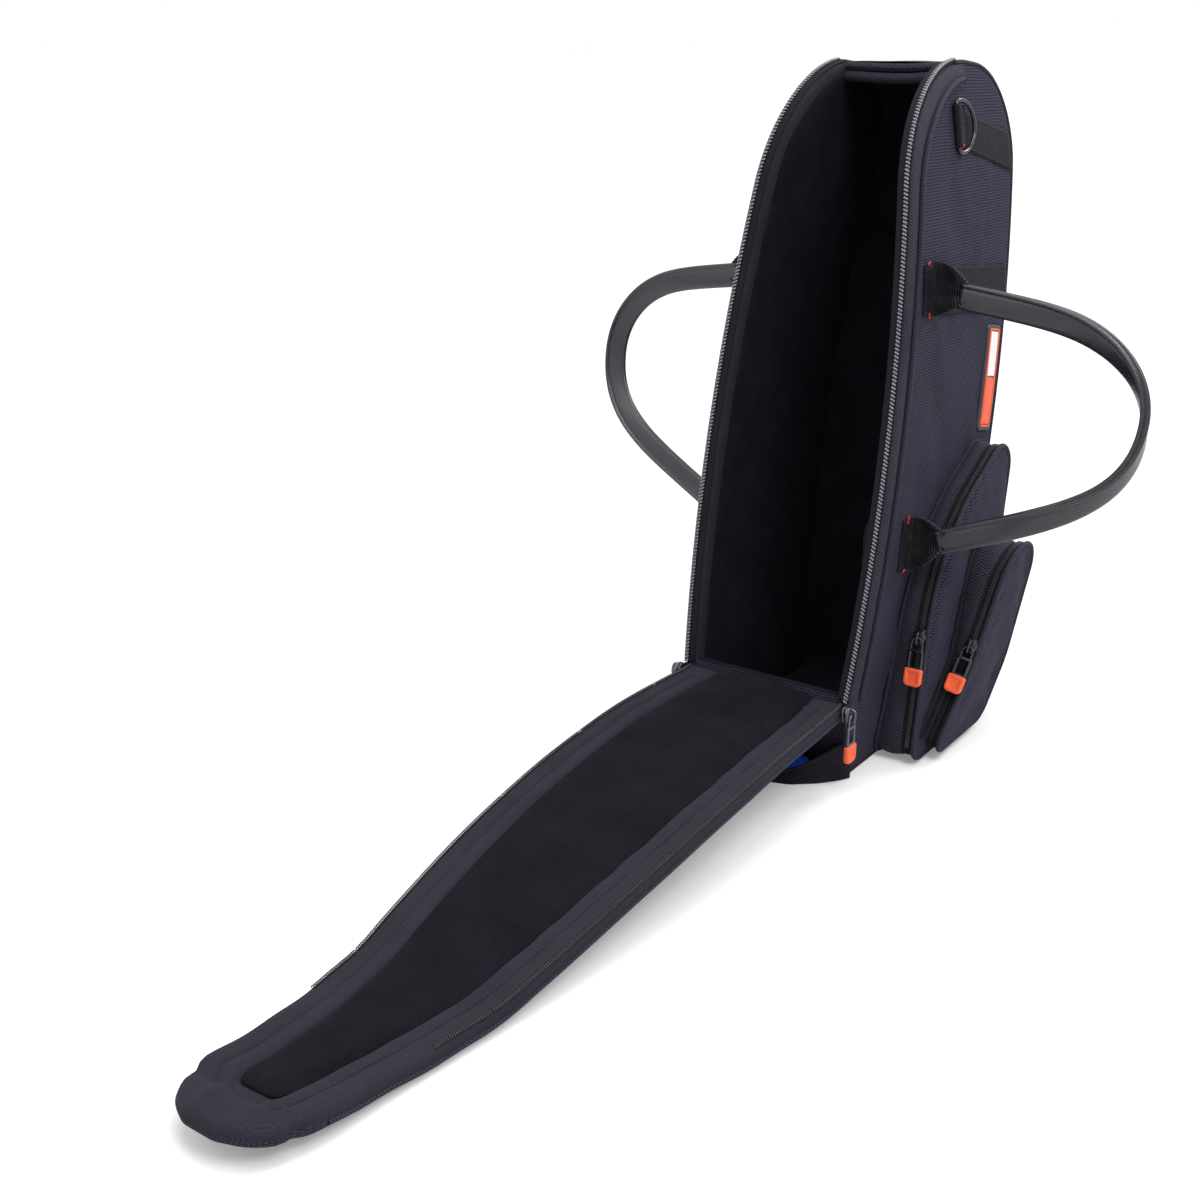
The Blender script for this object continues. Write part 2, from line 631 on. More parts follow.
def used(points, faces, uv):
    """Only the points that some face needs."""
    keep = sorted({i for f in faces for i in f})
    index = {old: new for new, old in enumerate(keep)}
    return np.asarray(points)[keep], [tuple(index[i] for i in f) for f in faces], np.asarray(uv)[keep]


def rim_part():
    """The wall's own edge round the mouth, under the zipper tape."""
    s = np.linspace(-30, MOUTH + 8, 150)
    spots, _ = SIDE.at(s, 0.0)
    rows = []
    for inner in (3.4, 6.5, WALL - 0.2):
        rows.append(np.stack([half_width(spots[:, 1]) - inner, spots[:, 0], spots[:, 1]], 1))
    points = np.stack(rows, 1).reshape(-1, 3)
    uv = np.stack([np.repeat(s, 3), np.tile([3.4, 6.5, WALL], len(s))], 1)
    return points, grid(len(s), 3, flip=True), uv


def strip_part(s_range, out, half, t_count, crown, step=5.0, seed=11, soft=0.5, flip=False):
    """A lofted strip between the walls along the side profile."""
    s = np.linspace(*s_range, int((s_range[1] - s_range[0]) / step) + 1)
    t = np.sin(np.linspace(-1, 1, t_count) * pi / 2)
    base, normal = SIDE.at(s, 0.0)
    reach = half_width(base[:, 1]) - half
    x = t[None, :] * reach[:, None]
    uneven = waves(s[:, None], x, 60.0, soft, seed) * (1 - t[None, :] ** 4)
    swell = crown * (1 - np.abs(t[None, :]) ** 3) + uneven
    edge = -2.2 * smooth((np.abs(t[None, :]) - 0.955) / 0.045)
    off = out + swell + edge * (1 if out > -5 else 0.6)
    y = base[:, None, 0] + normal[:, None, 0] * off
    z = np.maximum(base[:, None, 1] + normal[:, None, 1] * off, 0.3 if out > -5 else 10.0)
    points = np.stack([x, y, z], -1).reshape(-1, 3)
    uv = np.stack([x.ravel(), np.repeat(s, t_count)], 1)
    return points, grid(len(s), t_count, flip=flip), uv


def rim_line(s, out, inner):
    """A line round the right wall's rim."""
    spots, normals = SIDE.at(s, out)
    line = np.stack([half_width(spots[:, 1]) - inner, spots[:, 0], spots[:, 1]], 1)
    return line, np.stack([np.zeros(len(s)), normals[:, 0], normals[:, 1]], 1)


def both_sides(name, part, material, covers=None):
    """A right-hand piece and its twin, on the case. covers is a node's name without its side."""
    for side, shape in zip(SIDES, (part, mirror(part))):
        made(f"{side}_{name}", shape, material, "case", [f"{side}_{covers}"] if covers else ())


fine, coarse = wall_part()
both_sides("wall_cover", fine, M_WALL, "side_wall")
both_sides("wall_border", joined([coarse, rim_part()]), M_COARSE)
panel = strip_part((MOUTH - 2, SIDE.total + 3), -0.4, 1.0, 33, 0.8)
made("panel_cover", panel, M_WALL, "case", ["base_panel", "back_panel", "top_panel"])


def piping_line(s, inset, rise):
    """A line on the right wall, inset from its outline."""
    spots, _ = SIDE.at(s, -np.asarray(inset, float))
    return on_wall(spots, rise), wall_up(spots)


s_pipe = np.linspace(PIPING_FROM, PIPING_TO, 170)
inset_pipe = PIPING_IN - 6.0 * smooth((s_pipe - FRONT_LENGTH - 60) / (PIPING_TO - FRONT_LENGTH - 60))
line, up = piping_line(s_pipe, inset_pipe, 0.7)
taper = 0.35 + 0.65 * np.minimum(smooth((s_pipe - PIPING_FROM) / 10.0), smooth((PIPING_TO - s_pipe) / 12.0))
both_sides("mouth_piping", swept(line, up, disc(2.3, sides=12), taper), M_PIPING, "wall_piping")

s_back = np.linspace(HOOD_TOP - 12, SIDE.total - 2, 260)
line, up = rim_line(s_back, -0.2, 1.5)
line[:, 2] = np.maximum(line[:, 2], 1.9)
both_sides("seam_piping", swept(line, up, disc(1.7, sides=9)), M_PIPING)
inner_line, inner_up = piping_line(s_back[8:-8], np.full(len(s_back) - 16, 7.5), -0.35)
both_sides("seam_stitches", stitches(inner_line, inner_up, *SEAM_STITCH), M_THREAD)

# ---------------------------------------------------------------- zipper round the mouth
s_mouth = np.linspace(0.0, MOUTH, 240)
tape_section = [(-5.3, 0.0), (-5.3, 0.8), (-2.0, 1.1), (0.6, 1.2), (4.6, 1.0), (4.9, 0.0)]
line, up = rim_line(s_mouth, 0.05, 5.6)
tape = swept(line, up, np.array(tape_section) * (-1, 1))
chain_line, chain_up = rim_line(s_mouth, TAPE + COIL_TALL / 2 - 0.1, 1.0 + COIL_WIDE / 2)
rim_coil = coil(chain_line, chain_up, 2.9, COIL_WIDE + 0.6, COIL_TALL + 0.4, 0.72)
both_sides("rim_tape", tape, M_TAPE, "rim_zipper")
both_sides("rim_coil", rim_coil, M_COIL)
core_line, core_up = rim_line(s_mouth, TAPE + 0.9, 1.0 + COIL_WIDE / 2)
both_sides("rim_core", swept(core_line, core_up, disc(0.75, 0.55, 6)), M_THREAD)


# ---------------------------------------------------------------- inside
def binding_part():
    """The padded binding on the inner face of the wall, between the zipper and the plush."""
    s = np.linspace(-12, MOUTH - 1, 190)
    depths = np.array([0.3, 1.5, 4, 7, 10, 12.6, 14.2, 15.0])
    puff = np.array([0.0, 0.9, 1.7, 2.1, 2.0, 1.4, 0.5, -0.6])
    rows = []
    for d, p in zip(depths, puff):
        spots, _ = SIDE.at(s, -d)
        x = half_width(spots[:, 1]) - WALL - 0.2 - p - waves(s, d, 40.0, 0.18, 8)
        rows.append(np.stack([x, spots[:, 0], spots[:, 1]], 1))
    points = np.stack(rows, 1).reshape(-1, 3)
    uv = np.stack([np.repeat(s, len(depths)), np.tile(depths, len(s))], 1)
    return points, grid(len(s), len(depths), flip=True), uv


both_sides("mouth_binding", binding_part(), M_BAND)

LINING_INSETS = [0, 0.8, 2.0, 4.0, 7.0, 11.0]


def lining_height(y, z, d):
    edge = np.clip(d / 5.0, 0, 1)
    roll = 2.6 * (1 - np.sqrt(1 - (1 - edge) ** 2))
    soft = smooth(d / 18.0) * (waves(y, z, 85.0, 1.0, 21) + waves(y, z, 30.0, 0.25, 22))
    return half_width(z) - WALL - LINING - 0.5 + roll - soft


inner_outline, inner_radii = grown(PROFILE, PROFILE_RADII, -12.5)
lining_points, lining_faces, lining_flat, _ = dressed(
    inner_outline, inner_radii, LINING_INSETS, lining_height)
lining = (lining_points, [f[::-1] for f in lining_faces], lining_flat)
both_sides("wall_lining", lining, M_PLUSH, "side_lining")
inner = strip_part((MOUTH - 4, SIDE.total + 2), -13.4, 12.5, 25, 0.9, seed=31, soft=0.8, flip=True)
made("floor_and_back_lining", inner, M_PLUSH, "case", ["inner_lining"])


def cross_roll(s, out, radius, half, sag):
    """A padded roll from wall to wall."""
    spot, normal = SIDE.at(np.array([s]), out)
    reach = float(half_width(spot[0, 1])) - half
    t = np.linspace(-1, 1, 41)
    dip = sag * (1 - t ** 2) + waves(t * reach, 0.0, 40.0, 0.3, 41)
    line = np.stack([t * reach, spot[0, 0] - normal[0, 0] * dip, spot[0, 1] - normal[0, 1] * dip], 1)
    return swept(line, (0, normal[0, 0], normal[0, 1]), disc(radius, radius, 14))


upper_roll = cross_roll(MOUTH - 1.5, -2.9, 3.3, 2.5, 1.2)
lower_roll = cross_roll(MOUTH - 2.5, -10.2, 4.2, 9.5, 2.0)
foot_roll = cross_roll(-1.0, -5.2, 5.0, 3.0, 0.0)
ROLLS = (("mouth_top_roll", upper_roll, M_COARSE, "shell_fabric"),
         ("mouth_top_binding", lower_roll, M_BAND, "shell_fabric"),
         ("mouth_foot_roll", foot_roll, M_PLUSH, "plush"))
for name, roll, material, slot in ROLLS:
    made(name, roll, material, "case")


# ---------------------------------------------------------------- the flap
CORNER_TURN = degrees(atan2(FRONT[1], FRONT[0]) - atan2(TOP[1], TOP[0]))
RIM = TAPE + COIL_TALL
FLAP_WIDE = 60.0              # half the width of the flap's plan before its bow is put in
FLAP_START = -7.0


def hood_place(turn):
    """Distance along the rim at turn degrees past the straight front."""
    past = max(turn - CORNER_TURN, 0.0)
    return FRONT_LENGTH + HOOD_RADIUS * (radians(min(turn, CORNER_TURN)) + tan(radians(past)))


STATIONS = [FRONT_LENGTH * k / 4 for k in range(4)] + [hood_place(FLAP_TURN * k / 4) for k in range(5)]
FLAP_END = STATIONS[-1]
PLUSH_END = hood_place(71.0)
CREASE_AT = PLUSH_END + 7     # where the band folds across, between the pad and the tip
LIP_WIDE, NOTCH_DEEP, CREASE_DEEP = 28.0, 3.2, 2.6


def turned(vectors, angle):
    """(y, z) vectors turned about +X, by one angle each, in degrees."""
    c, s = np.cos(np.radians(angle)), np.sin(np.radians(angle))
    y, z = vectors[..., 0], vectors[..., 1]
    return np.stack([y * c - z * s, y * s + z * c], -1)


def flap_turn(s):
    """How far the opened flap has turned at s, eased across each bend."""
    total = np.full(np.shape(s), ANGLES[0])
    for k in range(1, 8):
        reach = 0.4 * min(STATIONS[k] - STATIONS[k - 1], STATIONS[k + 1] - STATIONS[k])
        total = total + (ANGLES[k] - ANGLES[k - 1]) * smooth((s - STATIONS[k] + reach) / (2 * reach))
    return total


class OpenFlap:
    """The laid-open flap's outer skin as a curve, and its upward direction."""

    def __init__(self):
        self.s = np.linspace(FLAP_START - 3, FLAP_END + 2, 1400)
        closed, normal = SIDE.at(self.s, FLAP_DEPTH)
        step = np.diff(closed, axis=0)
        middle = (self.s[1:] + self.s[:-1]) / 2
        run = np.vstack([[0, 0], np.cumsum(turned(step, flap_turn(middle)), axis=0)])
        hinge, _ = SIDE.at(np.array([0.0]), RIM)
        foot, _ = SIDE.at(np.array([0.0]), FLAP_DEPTH)
        start = hinge[0] + turned(foot - hinge, np.array([ANGLES[0]]))[0]
        at_foot = np.array([np.interp(0.0, self.s, run[:, k]) for k in (0, 1)])
        self.skin = run - at_foot + start
        self.up = -turned(normal, flap_turn(self.s))
        self.wide = half_width(closed[:, 1]) - FLAP_NARROW

    def lay(self, x, s, height):
        """Points of the laid-open flap from its plan (x, s) and height over the outer skin."""
        x, s, height = (np.asarray(v, float) for v in (x, s, height))
        skin = np.stack([np.interp(s, self.s, self.skin[:, k]) for k in (0, 1)], -1)
        up = np.stack([np.interp(s, self.s, self.up[:, k]) for k in (0, 1)], -1)
        more = np.interp(s, self.s, self.wide) - FLAP_WIDE - FLAP_TUCK
        share = np.clip(np.abs(x) / (FLAP_WIDE - LIP_WIDE), 0, 1)
        notch = -NOTCH_DEEP * bell(s, CREASE_AT, 4.5) * share
        wide = x + np.sign(x) * (share * more + notch)
        return np.stack([wide, skin[..., 0] + up[..., 0] * height, skin[..., 1] + up[..., 1] * height], -1)


FLAP_TUCK = 2.0               # the lips lean in by this much once the zipper is open
FLAP = OpenFlap()
CUTS = [FLAP_START - 5] + [(a + b) / 2 for a, b in zip(STATIONS, STATIONS[1:])] + [FLAP_END + 5]
PLAN = ((-FLAP_WIDE, FLAP_START), (-FLAP_WIDE, FLAP_END), (FLAP_WIDE, FLAP_END), (FLAP_WIDE, FLAP_START))
PLAN_RADII = (1.0, 44.0, 44.0, 1.0)


def table(*pairs):
    """A profile read by distance from an edge."""
    across, up = zip(*pairs)
    return lambda d: np.interp(d, across, up)


# Heights over the outer skin by distance in from the flap's edge: lip with its sewn channel, tip, skin.
LIP = table((0, 8), (0.25, 10.4), (0.7, 12.3), (1.5, 13.7), (2.8, 14.5), (5, 14.9), (9, 15.1), (13, 14.7),
            (15.2, 13.4), (16, 12.7), (16.8, 13.4), (19, 14.4), (22, 14.7), (25, 14.2), (27, 12.9),
            (29, 11.6), (60, 11.6))
TIP = table((0, 6.5), (0.25, 8.6), (0.7, 10.2), (1.5, 11.6), (2.8, 12.8), (5, 13.8), (9, 14.8), (16, 15.6),
            (30, 16.6), (60, 17.2))
SKIN = table((0, 8), (0.25, 5.8), (0.7, 4.0), (1.5, 2.4), (2.8, 1.2), (5, 0.5), (8, 0.15), (14, 0), (60, 0))


def at_tip(s):
    return smooth((s - PLUSH_END - 2) / 12.0)


PAD_IN, PAD_ROUND, UNDER_PAD = 26.6, 15.0, 8.5


def within_pad(x, s):
    """How far a plan place lies inside the plush pad's outline; below 0 outside it."""
    wide, far = np.abs(x) - (FLAP_WIDE - PAD_IN - PAD_ROUND), s - (PLUSH_END - PAD_ROUND)
    corner = np.hypot(np.maximum(wide, 0), np.maximum(far, 0))
    return PAD_ROUND - corner - np.minimum(np.maximum(wide, far), 0)


def top_height(x, s, d):
    tip = at_tip(s)
    tall = LIP(d) * (1 - tip) + TIP(d) * tip
    crease = CREASE_DEEP * bell(s, CREASE_AT, 4.0) * smooth(d / 3)
    soft = waves(x, s, 34.0, 0.45 + 0.5 * tip, 51) * smooth((d - 3) / 14)
    band = tall - crease + soft - 1.5 * tip * smooth((s - FLAP_END + 34) / 34)
    hidden = smooth(within_pad(x, s) / 6.0)
    return band * (1 - hidden) + UNDER_PAD * hidden


def skin_height(x, s, d):
    tip = at_tip(s)
    soft = waves(x, s, 60.0, 0.3, 52) * smooth((d - 5) / 20) * (1 - tip)
    return SKIN(d) - tip * 1.5 * np.exp(-d / 1.5) + soft


PAD_FOOT, PAD_CROWN, PAD_DOME = 11.6, 5.0, 7.0


def pad_height(x, s, d):
    edge = np.clip(d / 13.0, 0, 1)
    rounded = np.sqrt(1 - (1 - edge) ** 2)
    across = 1 - (np.abs(x) / 42.0) ** 2
    dome = PAD_DOME * bell(s, 4.0, 42.0) * np.clip(across, 0, 1)
    sink = 1.8 * bell(s, PLUSH_END - 10, 16.0)
    soft = waves(x, s, 46.0, 0.55, 53) + waves(x, s, 17.0, 0.16, 54)
    return PAD_FOOT + rounded * (PAD_CROWN * (0.55 + 0.45 * np.clip(across, 0, 1)) + dome + soft - sink)


def plan_part(corners, radii, insets, height, under=False):
    """A soft surface over the flap's plan: its points laid open, faces, uv, and plan places."""
    points, faces, flat, _ = dressed(corners, radii, insets, height, spacing=6.0, step=5.0)
    open_points = FLAP.lay(flat[:, 0], flat[:, 1], points[:, 0])
    if under:
        faces = [f[::-1] for f in faces]
    weave = np.stack([flat[:, 1] + points[:, 0], flat[:, 0] + points[:, 0]], 1)
    return open_points, faces, weave, flat


def soft_normals(parts):
    """Vertex normals of several surfaces that share an edge, smooth across it."""
    points = np.vstack([p[0] for p in parts])
    keys, total, base = {}, {}, 0
    ids = [keys.setdefault(tuple(np.round(p, 2)), len(keys)) for p in points]
    for part in parts:
        for face in part[1]:
            spokes = points[[base + i for i in face]]
            spokes = spokes - spokes.mean(0)
            area = sum(np.cross(a, b) for a, b in zip(spokes, np.roll(spokes, -1, 0)))
            for i in face:
                total[ids[base + i]] = total.get(ids[base + i], 0) + area
        base += len(part[0])
    out = np.array([total.get(i, np.array((0, 0, 1.0))) for i in ids])
    out /= np.maximum(np.linalg.norm(out, axis=1), 1e-9)[:, None]
    splits = np.cumsum([len(p[0]) for p in parts])[:-1]
    return np.split(out, splits)


def strips(name, part, normals, material, covers=None):
    """One flap surface as nine strips, each bending between the two pieces that it crosses.

    The last strip stands for the rest of the nodes, because a short surface ends before the tip."""
    points, faces, uv, flat = part
    place = np.array([np.mean(flat[list(f), 1]) for f in faces])
    count = 1 + max(k for k in range(9) if np.any(place >= CUTS[k]))
    for k in range(count):
        mine = [f for f, s in zip(faces, place) if CUTS[k] <= s < CUTS[k + 1]]
        keep = sorted({i for f in mine for i in f})
        last = 8 if k == count - 1 else k
        nodes = [f"{covers}_{i}" for i in range(max(k, 1), last + 1)] if covers and k else ()
        piece = made(f"{name}_{k}", used(points, mine, uv), material, None, nodes, normals[keep])
        ride_strip(piece, k)


def ride_strip(piece, k):
    """Strip k crosses the bend between pieces k and k + 1; the last rides the tip."""
    if k == 8:
        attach(piece, "flap_8")
        return
    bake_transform(piece)


LIP_INSETS = [0, 0.25, 0.7, 1.5, 2.8, 5, 7.5, 10.5, 13, 15.2, 16, 16.8, 18.5, 21, 24, 26, 27.5, 29.5]
top_part = plan_part(PLAN, PLAN_RADII, LIP_INSETS, top_height)
skin_part = plan_part(PLAN, PLAN_RADII, [0, 0.25, 0.7, 1.5, 2.8, 5, 8, 12], skin_height, under=True)
PAD_WIDE = FLAP_WIDE - PAD_IN
PAD_PLAN = ((-PAD_WIDE, FLAP_START), (-PAD_WIDE, PLUSH_END), (PAD_WIDE, PLUSH_END), (PAD_WIDE, FLAP_START))
PAD_INSETS = [0, 0.15, 0.5, 1.1, 2.1, 3.6, 5.6, 8.2, 11.5]
pad_part = plan_part(PAD_PLAN, (1.0, PAD_ROUND, PAD_ROUND, 1.0), PAD_INSETS, pad_height)
top_normals, skin_normals = soft_normals([top_part, skin_part])
pad_normals, = soft_normals([pad_part])
strips("flap_band", top_part, top_normals, M_BAND)
strips("flap_skin", skin_part, skin_normals, M_WALL, covers="flap_panel")
strips("flap_pad", pad_part, pad_normals, M_PLUSH, covers="flap_lining")


# What lies along the lips: the coil, its tape's stitches and the cord in the outer edge.
def lip_line(s, inset, rise):
    """A line along the right lip, inset from its edge."""
    line = FLAP.lay(np.full(len(s), FLAP_WIDE - inset), s, rise)
    up = np.stack([np.zeros(len(s))] + [np.interp(s, FLAP.s, FLAP.up[:, k]) for k in (0, 1)], 1)
    return line, up


def lip_pieces(name, build, material, end=None):
    """Something that runs along both lips, in nine lengths."""
    for k in range(9):
        low, high = max(CUTS[k], FLAP_START + 5), min(CUTS[k + 1], end or FLAP_END)
        if high - low < 3:
            continue
        part = build(np.linspace(low, high, max(4, int((high - low) / 1.5))))
        ride_strip(made(f"{name}_{k}", joined([part, mirror(part)]), material, None), k)


def lip_coil(s):
    line = lip_line(s, 1.0 + COIL_WIDE / 2, 14.3 + COIL_TALL / 2)
    return coil(*line, 1.75, COIL_WIDE, COIL_TALL, 0.46)


def lip_cord(s):
    return swept(*lip_line(s, 0.6, 6.0), disc(1.7, sides=9), caps=False)


def seam_at(inset, rise):
    return lambda s: stitches(*lip_line(s, inset, rise), *LIP_STITCH)


lip_pieces("flap_coil", lip_coil, M_COIL_DARK, end=FRONT_LENGTH + 60)
lip_pieces("flap_cord", lip_cord, M_PIPING, end=FLAP_END - 46)
lip_pieces("flap_tape_stitches", seam_at(6.4, 15.1), M_THREAD, end=PLUSH_END)
lip_pieces("flap_seam_stitches", seam_at(17.6, 13.9), M_THREAD, end=PLUSH_END)


# ---------------------------------------------------------------- pockets on the right wall
LARGE_FACE, LARGE_TOP, LARGE_BALL = 100.0, 113.0, 1080.0
LARGE_MIDDLE = (38.0, 133.0)
SMALL_LOW, SMALL_HIGH, SMALL_FOOT, SMALL_TOP = 113.0, 138.0, 9.0, 172.0
SMALL_SLOPE = (SMALL_HIGH - SMALL_LOW) / (SMALL_TOP - SMALL_FOOT)
SMALL_MIDDLE, SMALL_BALL, SMALL_CROWN = (33.0, 90.5), 1100.0, 8.0


def large_dome(y, z):
    reach = (np.asarray(y) - LARGE_MIDDLE[0]) ** 2 + (np.asarray(z) - LARGE_MIDDLE[1]) ** 2
    return LARGE_TOP - LARGE_BALL + np.sqrt(LARGE_BALL ** 2 - reach)


def small_plane(z):
    return SMALL_LOW + (np.asarray(z) - SMALL_FOOT) * SMALL_SLOPE


def small_dome(y, z):
    reach = (np.asarray(y) - SMALL_MIDDLE[0]) ** 2 + (np.asarray(z) - SMALL_MIDDLE[1]) ** 2
    return small_plane(z) + SMALL_CROWN - SMALL_BALL + np.sqrt(SMALL_BALL ** 2 - reach)


def piped(corners, radii, place, out, radius, sides=10):
    """A cord all the way round an outline."""
    line, up = outline_line(corners, radii, place, out)
    return swept(line, up, disc(radius, sides=sides), caps=False, closed=True)


def outline_strip(corners, radii, rows, lift=0.0):
    """A closed strip round a pocket. Each row is (x at (y, z), distance out of the outline)."""
    rings = []
    for place, out in rows:
        flat = loop(corners, radii, out, 3.0)
        flat[:, 1] = np.maximum(flat[:, 1], 0.4 + lift)
        x = np.broadcast_to(place(flat[:, 0], flat[:, 1]), len(flat))
        rings.append(np.stack([x, flat[:, 0], flat[:, 1]], 1))
    count = len(rings[0])
    base = loop(corners, radii, 0.0, 3.0)
    across = lengths([r.mean(0) for r in rings])
    uv = np.stack([np.tile(lengths(base), len(rows)), np.repeat(across, count)], 1)
    return np.vstack(rings), grid(len(rows), count, wrap_cols=True, flip=True), uv


def outline_line(corners, radii, place, out, step=2.0, run=None):
    """A line round a pocket, all the way or over a stretch of its Ring."""
    if run is None:
        flat = loop(corners, radii, out, step)
        normal = left_of(flat)
    else:
        flat, normal = Ring(corners, radii, corners[0]).at(np.arange(*run, step), out)
    flat[:, 1] = np.maximum(flat[:, 1], 2.2)
    line = np.stack([np.broadcast_to(place(flat[:, 0], flat[:, 1]), len(flat)), flat[:, 0], flat[:, 1]], 1)
    return line, np.stack([np.zeros(len(flat)), normal[:, 0], normal[:, 1]], 1)


def shifted(place, by):
    return lambda y, z: place(y, z) + by


def between(low, high, t):
    """A place a share t of the way from one to another."""
    return lambda y, z: low(y, z) + (high(y, z) - low(y, z)) * t


def wall_at(y, z):
    return half_width(z)


FACE_EDGE = 5.0
FACE_INSETS = [0, 0.3, 0.9, 1.9, 3.3, 5.2, 7.6, 10.5, 14]


def pocket_face(name, corners, radii, dome, plane, body, node, seed):
    """A crowned face that rolls over at its piped edge."""
    def height(y, z, d):
        rolled = np.sqrt(1 - (1 - np.clip(d / 8.0, 0, 1)) ** 2)
        low = plane(y, z) + FACE_EDGE
        crown = np.maximum(dome(y, z), low + 2.0)
        soft = waves(y, z, 58.0, 1.1, seed) + waves(y, z, 20.0, 0.25, seed + 1)
        pucker = -1.2 * bell(d, 11, 5) * (0.5 + 0.5 * waves(y, z, 18.0, 1.0, seed + 2))
        return low + (crown - low) * rolled + smooth(d / 16) * soft + pucker
    points, faces, flat, _ = dressed(corners, radii, FACE_INSETS, height, step=4.0)
    points[:, 2] = np.maximum(points[:, 2], 0.5)
    made(name, (points, faces, flat), M_WALL, body, [node])


def flat_plane(y, z):
    return np.full(np.shape(z), LARGE_FACE)


def small_flat(y, z):
    return small_plane(z)


# the large pocket: its side strip, tape, the two coils and the piped face
gusset_rows = [(shifted(wall_at, -1.0), 0.6), (shifted(wall_at, 1.2), -0.8)]
gusset_rows += [(between(shifted(wall_at, 1.2), shifted(flat_plane, -5.8), t), 2.2 * sin(pi * t) - 0.8)
                for t in (0.15, 0.35, 0.55, 0.75, 0.9)]
gusset_rows += [(shifted(flat_plane, -6.2), -0.4), (shifted(flat_plane, -5.6), -1.6)]
gusset = outline_strip(LARGE, LARGE_RADII, gusset_rows)
made("large_gusset_cover", gusset, M_COARSE, "case", ["large_pocket_gusset"])


def tape_part(corners, radii, plane, low, high):
    """Zipper tape round a pocket, its two edges turned in."""
    rows = ((low, -2.2), (low + 0.5, -1.3), (high - 0.5, -1.3), (high, -2.2))
    return outline_strip(corners, radii, [(shifted(plane, rise), out) for rise, out in rows])


POCKET_COIL = (1.5, 2.9, 2.0, 0.42)           # pitch, width, height, wire


def zipper_run(corners, radii, plane, low_body, high_body, tag, run):
    """A pocket's tape and coils: one half on the pocket's side, the other on its face."""
    halves = (("side", low_body, -6.0, -0.3, -1.0, 0.0), ("face", high_body, 0.3, 4.6, 1.0, pi))
    for half, body, low, high, at, phase in halves:
        tape_half = tape_part(corners, radii, plane, low, high)
        made(f"{tag}_tape_{half}", tape_half, M_TAPE, body)
        line = outline_line(corners, radii, shifted(plane, at), -0.4, run=run)
        made(f"{tag}_coil_{half}", coil(*line, *POCKET_COIL, phase), M_COIL_DARK, body)
        line = outline_line(corners, radii, shifted(plane, at * 4.2), -1.1, run=run)
        made(f"{tag}_stitches_{half}", stitches(*line, *ZIP_STITCH), M_THREAD, body)


LARGE_RING = Ring(LARGE, LARGE_RADII, LARGE[0])
LARGE_RUN = (8.0, LARGE_RING.nearest(LARGE[3]) - 14)
zipper_run(LARGE, LARGE_RADII, flat_plane, "case", "large_door", "large_zip", LARGE_RUN)
large_cord = piped(LARGE, LARGE_RADII, shifted(flat_plane, 5.6), -0.3, 2.1)
made("large_face_piping", large_cord, M_PIPING, "large_door")
base_cord = piped(LARGE, LARGE_RADII, shifted(wall_at, 1.5), 0.9, 1.5, 9)
made("large_base_piping", base_cord, M_COARSE, "case")
pocket_face("large_face_cover", LARGE, LARGE_RADII, large_dome, flat_plane, "large_door",
            "large_pocket_face", 61)

# the band sewn on between the large pocket's piping and the small pocket
BAND_ROWS = ((0.5, 10.6), (1.5, 10.0), (1.9, 4.0), (1.5, -1.5))
band = outline_strip(SMALL, SMALL_RADII, [(shifted(large_dome, rise), out) for rise, out in BAND_ROWS], 1.0)
made("small_pocket_band", band, M_TAPE, "large_door")
line, _ = outline_line(SMALL, SMALL_RADII, shifted(large_dome, 1.75), 9.2)
made("small_band_stitches", stitches(line, (1.0, 0, 0), *POCKET_STITCH), M_THREAD, "large_door")

# the small pocket, on its slanting plane
side_rows = [(shifted(large_dome, -0.5), 0.4), (shifted(large_dome, 1.6), -0.6)]
side_rows += [(between(shifted(large_dome, 1.6), shifted(small_flat, -5.8), t), 1.5 * sin(pi * t) - 0.6)
              for t in (0.2, 0.45, 0.7, 0.9)]
side_rows += [(shifted(small_flat, -5.6), -1.7)]
side = outline_strip(SMALL, SMALL_RADII, side_rows)
made("small_gusset_cover", side, M_COARSE, "large_door", ["small_pocket_gusset"])
SMALL_RING = Ring(SMALL, SMALL_RADII, SMALL[0])
zipper_run(SMALL, SMALL_RADII, small_flat, "large_door", "small_door", "small_zip",
           (SMALL_RING.nearest((17.0, 95.0)), SMALL_RING.nearest(SMALL[4])))
small_cord = piped(SMALL, SMALL_RADII, shifted(small_flat, 5.6), -0.3, 2.1)
made("small_face_piping", small_cord, M_PIPING, "small_door")
pocket_face("small_face_cover", SMALL, SMALL_RADII, small_dome, small_flat, "small_door",
            "small_pocket_face", 65)


# ---------------------------------------------------------------- handles
UPPER, LOWER = (-5.0, 383.0), (-30.0, 187.0)
TAB_HALF, TAB_LONG, TAB_INWARD, TAB_END, ROLL = 21.0, 26.0, 4.0, 6.0, 2.5
GRIP_CORNERS = ((120.0, 80.0), (168.0, 38.0), (168.0, -18.0), (128.0, -58.0))
HANDLE_BACK = 16.0
RIB = 2.3


def handle_axes():
    """The right handle's middle, its outward, upward and forward directions, and half its span."""
    span = hypot(UPPER[0] - LOWER[0], UPPER[1] - LOWER[1])
    out = TAPE + 0.3 + ROLL + TAB_HALF * (span - TAB_HALF) / (2 * BOW_RADIUS)
    high, low = on_wall([UPPER, LOWER], out)
    up = (high - low) / np.linalg.norm(high - low)
    outward = np.array((1.0, 0.0, 0.0)) - up * up[0]
    outward /= np.linalg.norm(outward)
    return (high + low) / 2, outward, up, np.cross(outward, up), np.linalg.norm(high - low) / 2


HANDLE_AT, OUTWARD, UPWARD, FORWARD, HANDLE_HALF = handle_axes()


